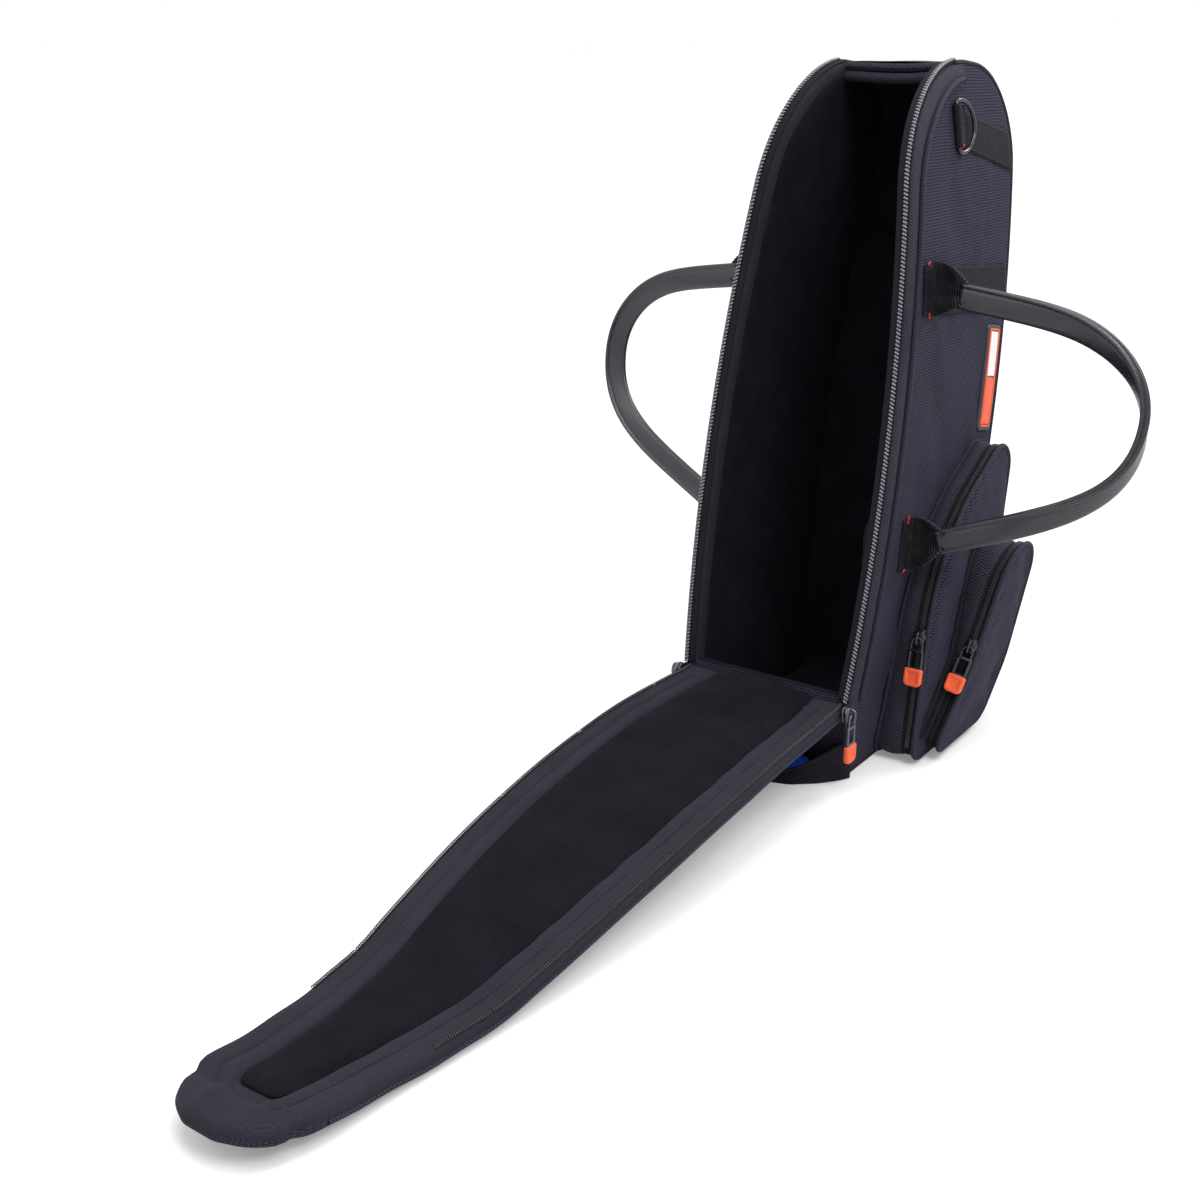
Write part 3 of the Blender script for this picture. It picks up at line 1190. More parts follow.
def in_handle(points):
    """Points (outward, up, forward) of the right handle, in the part's frame."""
    points = np.asarray(points, float)
    return HANDLE_AT + points[..., :1] * OUTWARD + points[..., 1:2] * UPWARD + points[..., 2:] * FORWARD


def swung_left(part):
    """A right handle's piece on the left: mirrored, and swung back as the CAD's is."""
    points, faces, uv = mirror(part)
    pivot, axis = HANDLE_AT * (-1, 1, 1), Vector(UPWARD * (-1, 1, 1))
    turn = np.array(Matrix.Rotation(radians(-HANDLE_BACK), 3, axis))
    return (points - pivot) @ turn.T + pivot, faces, uv


def eased(points, times=4):
    """A smooth line inside a polyline, from its first point to its last."""
    points = np.asarray(points, float)
    for _ in range(times):
        near, far = points[:-1] * 0.75 + points[1:] * 0.25, points[:-1] * 0.25 + points[1:] * 0.75
        cut = np.stack([near, far], 1).reshape(-1, points.shape[1])
        points = np.vstack([points[:1], cut[1:-1], points[-1:]])
    return points


def even(path, step):
    """A path with its points evenly spaced."""
    s = lengths(path)
    t = np.linspace(0, s[-1], int(s[-1] / step) + 1)
    return np.stack([np.interp(t, s, path[:, k]) for k in range(path.shape[1])], 1)


def turned_out(part):
    """A closed (points, faces, uv), with its faces turned so that they face outward."""
    points, faces, uv = part
    corner = (points - points.mean(0))[np.array([f[:3] for f in faces])]
    total = np.sum(corner[:, 0] * np.cross(corner[:, 1], corner[:, 2]))
    return points, faces if total > 0 else [tuple(f[::-1]) for f in faces], uv


def slab(middle, thick, uv):
    """A sheet with a thickness, from a grid of points on its middle."""
    middle = np.asarray(middle, float)
    normal = np.cross(np.gradient(middle, axis=1), np.gradient(middle, axis=0))
    normal /= np.linalg.norm(normal, axis=-1)[..., None]
    rows, cols = middle.shape[:2]
    half = np.asarray(thick) / 2
    half = half[..., None] if half.ndim == 2 else half
    around = np.concatenate([middle + normal * half, (middle - normal * half)[:, ::-1]], 1)
    texture = np.concatenate([uv, np.asarray(uv)[:, ::-1]], 1)
    faces = grid(rows, 2 * cols, wrap_cols=True)
    for row in (0, rows - 1):
        first, last = row * 2 * cols, (row + 1) * 2 * cols - 1
        ends = [(first + i, first + i + 1, last - 1 - i, last - i) for i in range(cols - 1)]
        faces += [e[::-1] for e in ends] if row == 0 else ends
    return turned_out((around.reshape(-1, 3), faces, texture.reshape(-1, 2)))


def strap_section():
    """The strap's section: two beads along one edge with a groove between them, and two flat faces."""
    bead = [(8.0 + 1.75 * cos(a), 1.95 + 1.75 * sin(a)) for a in np.radians(np.linspace(-58, 150, 8))]
    face = [(6.0, 1.95), (5.3, 2.4), (3.4, 2.6), (-1.0, 2.7), (-5.0, 2.65), (-8.0, 2.4), (-9.4, 1.7),
            (-10.0, 0.7)]
    upper = [(8.4, 0.0)] + bead + face
    return np.array(upper + [(w, -t) for w, t in upper[:0:-1]])


def strap(twist):
    """The wrapped strap from tab to tab. twist(share) turns its beaded edge from outward to forward."""
    ends = HANDLE_HALF - TAB_INWARD
    flat = even(eased([(TAB_LONG - 5, ends), *GRIP_CORNERS, (TAB_LONG - 5, -ends)]), 2.0)
    flat = np.hstack([flat, np.zeros((len(flat), 1))])
    along = np.gradient(flat, axis=0)
    along /= np.linalg.norm(along, axis=1)[:, None]
    share = lengths(flat) / lengths(flat)[-1]
    turn = twist(share)[:, None]
    outer = np.stack([-along[:, 1], along[:, 0], np.zeros(len(flat))], 1)
    edge = np.cos(turn) * outer + np.sin(turn) * np.array((0.0, 0.0, 1.0))
    points, faces, uv = swept(flat, np.cross(edge, along), strap_section())
    return in_handle(points), faces, uv


def tab(side):
    """One gathered webbing tab. side is 1 for the upper and -1 for the lower."""
    u = np.linspace(0, 1, 61)[:, None]
    v = np.linspace(-1, 1, 29)[None, :]
    spread = TAB_HALF - TAB_END
    rise = spread * (1 - u ** (2.4 if side > 0 else 1.9))
    drop = spread * (1 - u ** (1.4 if side > 0 else 2.4))
    half = TAB_END + np.where(v > 0, rise, drop)
    up = side * HANDLE_HALF + u * (2.5 - side * TAB_INWARD) + v * half
    out = -3.2 + (TAB_LONG + 4.5) * u - 4.2 * smooth(u) * (1 - np.abs(v) ** 1.6)
    forward = smooth(u * 1.15) * (6.4 * np.abs(v) ** 1.7 - 3.3) + 0.7 * smooth(u) * np.sin(3 * pi * v + side)
    rib = 0.32 * np.sin(2 * pi * u * (TAB_LONG + 4) / RIB)
    middle = np.stack([out + 0 * v, up + 0 * u, forward + rib], -1)
    uv = np.stack([v * TAB_HALF + 0 * u, u * (TAB_LONG + 4) + 0 * v], -1)
    return slab(in_handle(middle), 2.2, uv)


def grip_twist(share):
    return pi * smooth((share - 0.03) / 0.95) ** 1.15


def left_twist(share):
    return radians(24) * np.sin(pi * share) ** 2


right_strap = strap(grip_twist)
left_strap = swung_left(strap(left_twist))
tabs = joined([tab(1), tab(-1)])
for side, grip_part, tab_part in (("right", right_strap, tabs), ("left", left_strap, swung_left(tabs))):
    body = f"{side}_handle"
    made(f"{side}_strap", grip_part, M_WRAP, body, [f"{side}_handle_grip"])
    made(f"{side}_tabs", tab_part, M_TAB, body, [f"{side}_handle_tabs"])


# ---------------------------------------------------------------- webbing on the large walls
WEB_THICK, WEB_LIFT, WEB_STEP = 1.3, 0.1, 3.0


def patch(start, length, width, tilt, slant=0.0):
    """Webbing laid on the right wall from start (y, z) towards the back, tilted in the wall."""
    a = np.arange(0, length + WEB_STEP / 2, WEB_STEP)[:, None]
    b = np.linspace(-0.5, 0.5, 15)[None, :] * width
    t = radians(tilt)
    skew = a + slant * b / width * (a / length)
    y = start[0] + skew * cos(t) - b * sin(t)
    z = start[1] + skew * sin(t) + b * cos(t)
    edge = np.minimum(np.minimum(a, a[-1] - a) + 0 * b, width / 2 - np.abs(b) + 0 * a)
    swell = 0.25 * smooth(edge / 4.0) + waves(a, b, 38.0, 0.12, 51)
    flat = np.stack([y, z], -1)
    points = on_wall(flat.reshape(-1, 2), (WEB_LIFT + WEB_THICK / 2 + swell).ravel()).reshape(*y.shape, 3)
    return slab(points, WEB_THICK, np.stack([a + 0 * b, b + 0 * a], -1))


def rear_edge(z):
    """y of the rear edge at a height."""
    share = (z - PROFILE[4][1]) / (PROFILE[3][1] - PROFILE[4][1])
    return PROFILE[4][0] + share * (PROFILE[3][0] - PROFILE[4][0])


BAND_START, BAND_WIDTH, BAND_TILT, BAND_SHORT = (UPPER[0] - 12.0, UPPER[1]), 37.0, -5.5, 4.0
RING_AT, RING_START, RING_WIDTH, RING_TILT, RING_SHORT = (51.0, 500.0), (57.0, 499.0), 29.0, -12.5, 9.0
TO_REAR = 110.0               # about how far a band runs, for the height at which it meets the rear edge
PATCH_START, PATCH_LONG, PATCH_WIDTH = (LOWER[0] - 13.0, LOWER[1]), 26.0, 42.0


def band_to_rear(start, width, tilt, short):
    """A band from start to just short of the rear edge, and cut off in line with it."""
    slope = tan(radians(tilt))
    reach = rear_edge(start[1] + slope * TO_REAR) - start[0] - short
    return patch(start, reach / cos(radians(tilt)), width, tilt, slant=2.0 * slope * width)


def band_edge(start, reach, width, tilt, side):
    """The line of stitches along one edge of a band."""
    a = np.linspace(2, reach, 60)
    t, b = radians(tilt), side * (width / 2 - 2.2)
    flat = np.stack([start[0] + a * cos(t) - b * sin(t), start[1] + a * sin(t) + b * cos(t)], 1)
    return on_wall(flat, 1.75), wall_up(flat)


upper_band = band_to_rear(BAND_START, BAND_WIDTH, BAND_TILT, BAND_SHORT)
ring_band = band_to_rear(RING_START, RING_WIDTH, RING_TILT, RING_SHORT)
lower_patch = patch(PATCH_START, PATCH_LONG, PATCH_WIDTH, BAND_TILT)
both_sides("bands", joined([upper_band, ring_band, lower_patch]), M_WEBBING, "webbing")
SEWN_BANDS = ((BAND_START, 128.0, BAND_WIDTH, BAND_TILT), (RING_START, 100.0, RING_WIDTH, RING_TILT))
sewn = [stitches(*band_edge(*band, side), *BAND_STITCH) for band in SEWN_BANDS for side in (1, -1)]
both_sides("band_stitches", joined(sewn), M_THREAD)


# ---------------------------------------------------------------- bartacks in red thread
TACK_COIL = (0.8, 2.3, 1.3, 0.42)             # pitch, width, height, thread


def bartack(place, direction, length, out):
    """A short dense bar of thread on the right wall."""
    t = np.linspace(-length / 2, length / 2, 12)
    flat = np.array(place) + t[:, None] * np.array(direction)
    return coil(on_wall(flat, out), wall_up(flat), *TACK_COIL)


# near what, offset from it, direction, length, distance out from the wall
BARTACKS = ((UPPER, (-4.2, 20.0), (0.9, 0.35), 4.5, 2.0),
            (UPPER, (-4.8, -20.0), (0.2, -0.98), 5.5, 2.0),
            (LOWER, (-4.0, 20.5), (0.3, 0.95), 7.0, 2.0),
            (LOWER, (-5.0, -22.0), (0.98, 0.1), 4.5, 2.0),
            (RING_AT, (6.0, -15.2), (0.95, 0.3), 5.0, 4.2))
marks = [bartack(np.add(near, by), *rest) for near, by, *rest in BARTACKS]
both_sides("bartacks", joined(marks), M_RED)


# ---------------------------------------------------------------- ring keepers, badge and bell pad
KEEPER_LIFT, KEEPER_HALF = 2.95, 16.0


def keeper_part():
    """Webbing folded round the ring's bar and sewn down behind it."""
    lift = KEEPER_LIFT
    bend = [(2.5 * -sin(a), -2.5 * cos(a)) for a in np.linspace(0.1, pi - 0.1, 13)]
    route = [(16.0, 1.0 - lift), (9.0, 0.9 - lift), (3.0, 0.75 - lift), *bend, (3.2, 2.15), (6.2, 0.9),
             (9.5, -0.3), (13.0, 0.9 - lift + 1.3), (16.5, 0.6 - lift + 1.3)]
    route = even(np.array(route), 0.8)
    across = np.linspace(-KEEPER_HALF, KEEPER_HALF, 17)
    shrink = 1 - 0.05 * smooth(route[:, :1] / 6)
    y = RING_AT[0] + route[:, :1] + 0 * across
    z = RING_AT[1] + across * shrink
    out = lift + route[:, 1:] + waves(route[:, :1], across, 14.0, 0.12, 71)
    middle = on_wall(np.stack([y, z], -1).reshape(-1, 2), out.ravel()).reshape(*y.shape, 3)
    s = lengths(route)[:, None]
    return slab(middle, 1.2, np.stack([s + 0 * across, across + 0 * s], -1))


both_sides("keeper", keeper_part(), M_WEBBING, "ring_keeper")

BADGE_AT, BADGE_SIZE, BADGE_TURN = (116.0, 295.0), (26.0, 88.0), -10.0


def tilted(low, high):
    """A rectangle's corners in the badge's own (across, up) directions, clockwise from its lower front."""
    t = radians(BADGE_TURN)
    return tuple((BADGE_AT[0] + a * cos(t) - b * sin(t), BADGE_AT[1] + a * sin(t) + b * cos(t))
                 for a, b in ((low[0], low[1]), (low[0], high[1]), (high[0], high[1]), (high[0], low[1])))


def moulded(name, low, high, radius, profile, material, seed, covers=()):
    """A moulded plate on the right wall. profile is its height by distance from its edge."""
    rise = table(*profile)
    insets = [d for d, _ in profile]

    def height(y, z, d):
        return half_width(z) + rise(d) + waves(y, z, 30.0, 0.05, seed)

    plate = dressed(tilted(low, high), (radius,) * 4, insets, height, spacing=6.0, step=1.5)
    made(name, plate[:3], material, "case", covers)


PLATE_PROFILE = [(0, 0.0), (0.1, 1.1), (0.5, 1.7), (1.2, 1.9), (2.0, 1.7), (4.0, 1.6)]
FIELD_PROFILE = [(0, 1.4), (0.1, 2.0), (0.5, 2.3), (1.4, 2.35)]
half_w, half_h = BADGE_SIZE[0] / 2, BADGE_SIZE[1] / 2
moulded("badge_plate", (-half_w, -half_h), (half_w, half_h), 3.0, PLATE_PROFILE, M_RUBBER,
        81, ["badge"])
moulded("badge_lower_field", (-7.4, -38.8), (7.4, 0.4), 1.2, FIELD_PROFILE, M_ORANGE, 82)
moulded("badge_upper_field", (-7.4, 1.6), (7.4, 38.8), 1.2, FIELD_PROFILE, M_WHITE, 83)
frame_rows = [(shifted(wall_at, rise), out)
              for rise, out in ((1.3, 0.0), (2.2, 0.0), (2.6, -0.4), (2.6, -1.1), (2.2, -1.5), (1.3, -1.5))]
badge_frame = outline_strip(tilted((-9.8, -41.2), (9.8, 41.2)), (2.4,) * 4, frame_rows)
made("badge_frame", badge_frame, M_ORANGE, "case")
seam = tilted((-half_w + 1.4, -half_h + 1.4), (half_w - 1.4, half_h - 1.4))
line, _ = outline_line(seam, (2.0,) * 4, shifted(wall_at, 1.95), 0.0)
made("badge_stitches", stitches(line, (1.0, 0, 0), *BADGE_STITCH), M_THREAD, "case")

REST_BOX, REST_ROUND = ((-72.0, 91.0), (-72.0, 213.0), (-28.0, 213.0), (-28.0, 91.0)), (14.0,) * 4


def rest_height(y, z, d):
    rolled = np.sqrt(1 - (1 - np.clip(d / 7.0, 0, 1)) ** 2)
    quilt = 1.3 * bell(np.abs(z - 152.0), 20.5, 2.2)
    thick = 6.2 + 0.8 * smooth(d / 18) - quilt + waves(y, z, 30.0, 0.35, 84)
    return half_width(z) - WALL - LINING - 1.0 - rolled * thick


REST_INSETS = [0, 0.3, 0.9, 2.0, 3.6, 5.6, 8.0, 11.0]
points, faces, flat, _ = dressed(REST_BOX, REST_ROUND, REST_INSETS, rest_height, spacing=4.0)
rest = (points, [f[::-1] for f in faces], flat)
made("bell_rest", rest, M_PLUSH, "case", ["bell_pad"])
line, _ = outline_line(REST_BOX, REST_ROUND, shifted(wall_at, -WALL - LINING - 1.4), 0.6)
binding = swept(line, (-1.0, 0, 0), disc(1.3, sides=8), caps=False, closed=True)
made("bell_rest_binding", binding, M_TAPE, "case")


# ---------------------------------------------------------------- pouch and packed rain cover
POUCH_HALF, POUCH_REACH, POUCH_LOW, POUCH_HIGH, FRONT_FOOT = 74.0, 48.0, 7.0, 38.0, -90.0
POUCH_BOW = (POUCH_HALF ** 2 + POUCH_REACH ** 2) / (2 * POUCH_REACH)
LIP_BOW = (POUCH_HALF ** 2 + (POUCH_HIGH - POUCH_LOW) ** 2) / (2 * (POUCH_HIGH - POUCH_LOW))


def pouch_wall(share, up, out=0.0):
    """A point on the pouch's outer face, by its share round the bow, -1 to 1, and up to the lip, 0 to 1."""
    share, up = np.broadcast_arrays(np.asarray(share, float), np.asarray(up, float))
    turn = share * asin(POUCH_HALF / POUCH_BOW)
    slack = (1 - share ** 2) * (2.2 * np.sin(pi * up) + 1.2 * up)
    slack = slack + waves(share * 70, up * 30, 24.0, 0.7, 91) * (1 - share ** 4)
    reach = POUCH_BOW - 1.0 + slack + out
    x = reach * np.sin(turn)
    y = FRONT_FOOT - POUCH_REACH + POUCH_BOW - reach * np.cos(turn)
    lip = POUCH_LOW + LIP_BOW - np.sqrt(LIP_BOW ** 2 - np.minimum(np.abs(x), POUCH_HALF) ** 2)
    return np.stack([x, np.minimum(y, FRONT_FOOT + 1.0), 0.9 + (lip - 0.9) * up], -1)


def pouch_sheet(up, thick, out=0.0):
    """The pouch's wall over a range of heights."""
    return slab(pouch_wall(SHARE, up, out), thick, np.stack([SHARE * 95 + 0 * up, up * 30 + 0 * SHARE], -1))


def pouch_floor():
    """The pouch's base: a sheet from the front wall's foot out to the bow."""
    edge = pouch_wall(SHARE, 0.0) * (1, 1, 0) + np.array((0, 0, 1.1))
    centre = np.stack([edge[..., 0], np.full(edge.shape[:2], FRONT_FOOT + 1.0), edge[..., 2]], -1)
    middle = centre + (edge - centre) * np.linspace(0.02, 1, 9)[None, :, None]
    return slab(middle, 1.6, middle[..., :2])


SHARE = np.linspace(-1, 1, 81)[:, None]
pouch = joined([pouch_sheet(np.linspace(0, 1, 13)[None, :], 1.8), pouch_floor()])
made("pouch_body", pouch, M_TAPE, "case", ["rain_cover_pouch"])
made("pouch_lip", pouch_sheet(np.linspace(0.55, 1.03, 7)[None, :], 1.3, 1.3), M_WEBBING, "case")
line = pouch_wall(np.linspace(-0.97, 0.97, 120), 0.93, 2.2)
up = np.stack([line[:, 0] * 0.012, np.full(len(line), -1.0), np.zeros(len(line))], 1)
made("pouch_stitches", stitches(line, up, *POUCH_STITCH), M_THREAD, "case")

COVER_AT, COVER_SIZE = (6.0, FRONT_FOOT - 24.0, 3.0), (51.0, 30.0, 21.0)


def crumpled(direction, seed):
    """How far a bundled sheet stands out, with sharp folds."""
    draw = np.random.RandomState(seed)
    total = np.zeros(len(direction))
    for _ in range(16):
        way = draw.normal(size=3)
        way /= np.linalg.norm(way)
        pace = draw.uniform(3.0, 11.0)
        total += (0.5 - np.abs(np.sin(direction @ way * pace + draw.uniform(0, pi)))) / pace ** 0.7
    return total / 1.6


def cover_part():
    """The rain cover, bundled into the pouch."""
    rows, cols = 46, 96
    high = np.linspace(0, pi / 2, rows)[:, None]
    turn = np.linspace(0, 2 * pi, cols, endpoint=False)[None, :]
    level, rise = np.cos(high), np.sin(high)
    direction = np.stack([np.cos(turn) * level, np.sin(turn) * level, rise + 0 * turn], -1)
    reach = (0.94 + 0.16 * crumpled(direction.reshape(-1, 3), 7)).reshape(rows, cols, 1)
    points = direction * reach * np.array(COVER_SIZE) + np.array(COVER_AT)
    bow = POUCH_BOW - 3.2
    x, y = points[..., 0], points[..., 1]
    floor_y = FRONT_FOOT - POUCH_REACH + POUCH_BOW - np.sqrt(np.maximum(bow ** 2 - x ** 2, 1.0))
    points[..., 1] = np.clip(y, floor_y, FRONT_FOOT - 1.0)
    uv = np.stack([points[..., 0], points[..., 1] + points[..., 2]], -1).reshape(-1, 2)
    return points.reshape(-1, 3), grid(rows, cols, wrap_cols=True), uv


made("rain_cover_bundle", cover_part(), M_BLUE, "case", ["rain_cover"])


# ---------------------------------------------------------------- sliders, pulls and tips
SLIDER_FOOT, BAR_OUT, PULL_LONG, TIP_SIZE, SMALL_PULL_SWING = 0.4, 6.35, 25.0, 15.0, 11.0


class Seat:
    """A slider's frame: origin on the coil, up along the zipper, out away from it."""

    def __init__(self, origin, out, up):
        self.origin, self.out, self.up = (np.array(v, float) for v in (origin, out, up))
        self.up /= np.linalg.norm(self.up)
        self.out /= np.linalg.norm(self.out)
        self.across = np.cross(self.up, self.out)

    def put(self, points, swing=0.0):
        """Points (out, across, up), swung out about the pull's bar, in the part's frame."""
        p = np.asarray(points, float) - (BAR_OUT, 0, 0)
        t = radians(-swing)
        out, up = p[:, 0] * cos(t) + p[:, 2] * sin(t), -p[:, 0] * sin(t) + p[:, 2] * cos(t)
        axes = ((out + BAR_OUT, self.out), (p[:, 1], self.across), (up, self.up))
        return self.origin + sum(np.outer(far, way) for far, way in axes)


def outline_rows(corners, radii, rows, wrapped=False, step=1.0):
    """Rings (out, grow) of an outline, as points (out, across, up); closed into a ring, or capped."""
    rings = []
    for out, grow in rows:
        flat = loop(corners, radii, grow, step)
        rings.append(np.hstack([np.full((len(flat), 1), out), flat]))
    count = len(rings[0])
    faces = grid(len(rows), count, wrap_rows=wrapped, wrap_cols=True)
    if not wrapped:
        faces += [tuple(range(count - 1, -1, -1)), tuple((len(rows) - 1) * count + i for i in range(count))]
    points = np.vstack(rings)
    return turned_out((points, faces, points[:, 1:].copy()))


def slider_body():
    shield = ((-3.0, -6.2), (-5.6, 1.4), (-3.6, 6.2), (3.6, 6.2), (5.6, 1.4), (3.0, -6.2))
    rounds = (1.2, 2.0, 1.6, 1.6, 2.0, 1.2)
    low = SLIDER_FOOT
    top, foot = ((1.4, 0.1), (3.6, 0.1), (4.4, -0.6), (4.7, -1.8)), ((-1.2, -0.7), (-0.8, 0), (0, 0))
    plates = [outline_rows(shield, rounds, [(low + out, grow) for out, grow in rows])
              for rows in (top, foot)]
    bridge = ((4.2, 4.4), (7.6, 3.9), (8.4, -1.0), (8.0, -4.2), (4.2, -4.6))
    arch = eased([(low + out, 0, up) for out, up in bridge], 3)
    return joined([*plates, turned_out(swept(arch, (0, 1, 0), disc(1.5, 0.95, 10)))])


def pull_frame():
    """The link through the bridge, and the flat windowed pull."""
    half, low = 6.5, -PULL_LONG - 1.0
    arc = [(BAR_OUT, 4.6 * -cos(a), -5.0 + 5.6 * sin(a)) for a in np.linspace(0, pi, 19)]
    route = np.array([(BAR_OUT, -4.6, -10.5), *arc, (BAR_OUT, 4.6, -10.5)])
    link = swept(even(route, 0.8), (1, 0, 0), disc(0.95, sides=8))
    outer = ((-half, low), (-half, -9.0), (half, -9.0), (half, low))
    bar = ((-0.6, 0), (0.6, 0), (1.0, -0.5), (1.0, -2.1), (0.6, -2.6), (-0.6, -2.6), (-1.0, -2.1),
           (-1.0, -0.5))
    rows = [(BAR_OUT + out, grow) for out, grow in bar]
    return joined([turned_out(link), outline_rows(outer, (0.8, 2.2, 2.2, 0.8), rows, wrapped=True)])


def pull_tip():
    """The bare moulded tip: a raised rim round a shallow sunk field, front and back."""
    half, top = TIP_SIZE / 2, -PULL_LONG
    corners = ((-half, top - TIP_SIZE), (-half, top), (half, top), (half, top - TIP_SIZE))
    side = [(1.5, -4.2), (1.6, -3.4), (2.15, -2.8), (2.2, -1.2), (1.9, -0.4), (1.2, 0.0)]
    rows = [(BAR_OUT + way * out, grow) for way in (-1, 1) for out, grow in side[::-way]]
    return outline_rows(corners, (4.2, 2.0, 2.0, 4.2), rows)


def corner_reach(corners, radii, i):
    """How far corner i's rounding reaches along its sides."""
    into, away = unit(corners[i - 1], corners[i]), unit(corners[i], corners[(i + 1) % len(corners)])
    turn = atan2(into[0] * away[1] - into[1] * away[0], into[0] * away[0] + into[1] * away[1])
    return radii[i] * tan(abs(turn) / 2)


def pocket_seat(spot, along, x, rise=0.0):
    return Seat((x, *spot), (0, -along[1], along[0]), (rise, *along))


def rig(body, tag, seat, hang, swing, metal, mirrored=False):
    """One zipper's slider, pull and tip, in the place of the CAD's. hang is the seat of the last two."""
    for name, part, where, turn, material, slot, link in (
            ("slider", slider_body(), seat, 0.0, metal, "black_metal", "slider"),
            ("pull", pull_frame(), hang, swing, metal, "black_metal", "pull"),
            ("tip", pull_tip(), hang, swing, M_ORANGE, "orange_rubber", "pull")):
        shape = (where.put(part[0], turn), part[1], part[2])
        shape = mirror(shape) if mirrored else shape
        made(f"{tag}_{name}_cover", shape, material, f"{body}_{link}", [f"{tag}_{name}"])


main_spot = np.array(FOOT) + np.array(FRONT) * -8.0 - np.array(INWARD) * (TAPE + COIL_TALL + 0.25)
main_origin = (float(half_width(main_spot[1])), *main_spot)
main_seat, main_hang = (Seat(main_origin, (1, 0, 0), way) for way in ((0, *FRONT), (0, 0, 1)))
for side in SIDES:
    rig(side, f"{side}_zipper", main_seat, main_hang, 0.0, M_GUN, mirrored=side == "left")
along = unit(LARGE[0], LARGE[1])
spot = np.array(LARGE[1]) - np.array(along) * corner_reach(LARGE, LARGE_RADII, 1)
seat = pocket_seat(spot, along, LARGE_FACE + 0.2)
rig("large", "large_pocket", seat, seat, 0.0, M_BLACK)
along = unit(SMALL[1], SMALL[2])
spot = np.array(SMALL[1]) + np.array(along) * (corner_reach(SMALL, SMALL_RADII, 1) + 6.0)
seat = pocket_seat(spot, along, small_plane(spot[1]) + 0.2, along[1] * SMALL_SLOPE)
rig("small", "small_pocket", seat, seat, SMALL_PULL_SWING, M_BLACK)

for side in SIDES:
    ring = NODES[f"{side}_d_ring"]
    ring.data.materials.clear()
    ring.data.materials.append(M_BLACK)


# ---------------------------------------------------------------- stage, light and camera
FLOOR_HALF = 30.0             # m
FLOOR_MIDDLE = (0.0, -0.3, 0.0)
FLOOR_CLEAR = (0.55, 1.0)     # the floor turns to plain white from the first distance to the second
FLOOR_LIFT = 0.2              # how much light the camera sees on top of the floor's own
FLOOR_GREY = (0.80, 0.80, 0.80)
SKY_LIGHT, SKY_SEEN = 0.6, 1.0
# name, place, what it points at, width, power
LAMPS = (("key", (1.6, -0.9, 2.3), (0.05, -0.1, 0.25), 1.2, 30),
         ("fill", (-1.4, -1.7, 1.8), (0, -0.2, 0.2), 1.8, 14),
         ("rim", (0.9, 1.7, 1.9), (0, 0, 0.3), 1.0, 24),
         ("over", (0.1, -0.4, 2.4), (0, -0.3, 0.0), 1.6, 26))
CAMERA_PLACE, CAMERA_DOWN, CAMERA_ROUND = (0.5545, -1.1028, 0.5556), 20.0, 35.8
CAMERA_LENS, CAMERA_SENSOR, CAMERA_FAR = 45.33, 36.0, 100.0


def floor_material():
    """White that takes the object's shadow, and that the camera sees as plain white further out."""
    material = bpy.data.materials.new("white_floor")
    material.use_nodes = True
    tree = material.node_tree
    shader = tree.nodes["Principled BSDF"]
    shader.inputs["Base Color"].default_value = (*FLOOR_GREY, 1)
    shader.inputs["Roughness"].default_value = 0.9
    shader.inputs["Specular IOR Level"].default_value = 0.1
    camera_ray = tree.nodes.new("ShaderNodeLightPath").outputs["Is Camera Ray"]
    place = tree.nodes.new("ShaderNodeNewGeometry").outputs["Position"]
    away = new_node(tree, "ShaderNodeVectorMath", "DISTANCE", i0=place, i1=FLOOR_MIDDLE)
    far = new_node(tree, "ShaderNodeMapRange", Value=away.outputs["Value"])
    far.interpolation_type = "SMOOTHSTEP"
    far.inputs["From Min"].default_value, far.inputs["From Max"].default_value = FLOOR_CLEAR
    share = new_node(tree, "ShaderNodeMath", "MULTIPLY", i0=far.outputs[0], i1=camera_ray)
    glow = new_node(tree, "ShaderNodeEmission", Color=(1, 1, 1, 1))
    choose = new_node(tree, "ShaderNodeMixShader", i0=share.outputs[0], i1=shader.outputs[0],
                      i2=glow.outputs[0])
    lift = new_node(tree, "ShaderNodeMath", "MULTIPLY", i0=camera_ray, i1=FLOOR_LIFT)
    veil = new_node(tree, "ShaderNodeEmission", Strength=lift.outputs[0])
    both = new_node(tree, "ShaderNodeAddShader", i0=choose.outputs[0], i1=veil.outputs[0])
    tree.links.new(both.outputs[0], tree.nodes["Material Output"].inputs["Surface"])
    return material


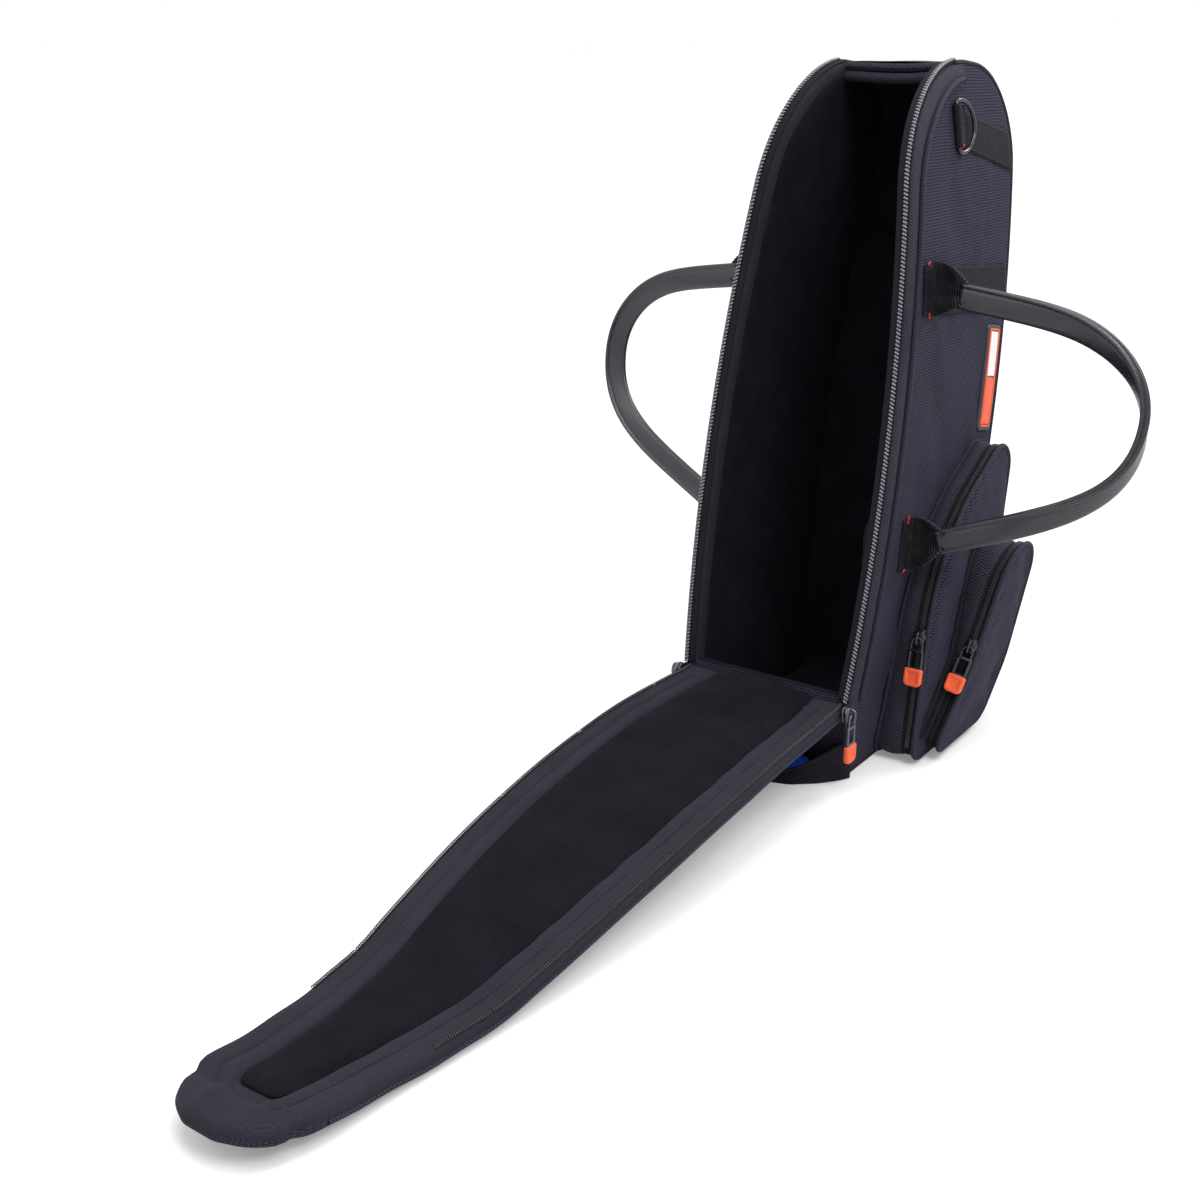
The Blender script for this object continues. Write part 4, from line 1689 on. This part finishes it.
def light_world():
    """White to the camera, and in mirrors and glass; dimmer as a light."""
    world = bpy.context.scene.world or bpy.data.worlds.new("studio")
    bpy.context.scene.world = world
    world.use_nodes = True
    tree = world.node_tree
    tree.nodes.clear()
    ray = tree.nodes.new("ShaderNodeLightPath").outputs
    seen = new_node(tree, "ShaderNodeMath", "MAXIMUM", i0=ray["Is Camera Ray"], i1=ray["Is Glossy Ray"])
    also = new_node(tree, "ShaderNodeMath", "MAXIMUM", i0=seen.outputs[0], i1=ray["Is Transmission Ray"])
    dim = new_node(tree, "ShaderNodeBackground", Color=(1, 1, 1, 1), Strength=SKY_LIGHT)
    white = new_node(tree, "ShaderNodeBackground", Color=(1, 1, 1, 1), Strength=SKY_SEEN)
    choose = new_node(tree, "ShaderNodeMixShader", i0=also.outputs[0], i1=dim.outputs[0],
                      i2=white.outputs[0])
    new_node(tree, "ShaderNodeOutputWorld", i0=choose.outputs[0])


def placed(name, data):
    holder = bpy.data.objects.new(name, data)
    bpy.context.scene.collection.objects.link(holder)
    return holder


floor_mesh = bpy.data.meshes.new("floor")
floor_corners = [(x * FLOOR_HALF, y * FLOOR_HALF, 0) for x, y in ((-1, -1), (1, -1), (1, 1), (-1, 1))]
floor_mesh.from_pydata(floor_corners, [], [(0, 1, 2, 3)])
floor_mesh.materials.append(floor_material())
placed("floor", floor_mesh)
light_world()

for name, place, target, size, power in LAMPS:
    light = bpy.data.lights.new(name, "AREA")
    light.shape, light.size, light.energy = "DISK", size, power
    lamp = placed(name, light)
    lamp.location, lamp.rotation_mode = place, "QUATERNION"
    lamp.rotation_quaternion = (Vector(target) - Vector(place)).to_track_quat("-Z", "Y")

lens = bpy.data.cameras.new("camera")
lens.sensor_width, lens.lens, lens.clip_end = CAMERA_SENSOR, CAMERA_LENS, CAMERA_FAR
camera = placed("camera", lens)
camera.location, camera.rotation_mode = CAMERA_PLACE, "XYZ"
camera.rotation_euler = (radians(90 - CAMERA_DOWN), 0, radians(CAMERA_ROUND))
bpy.context.scene.camera = camera
bpy.context.scene.view_settings.view_transform = "Standard"
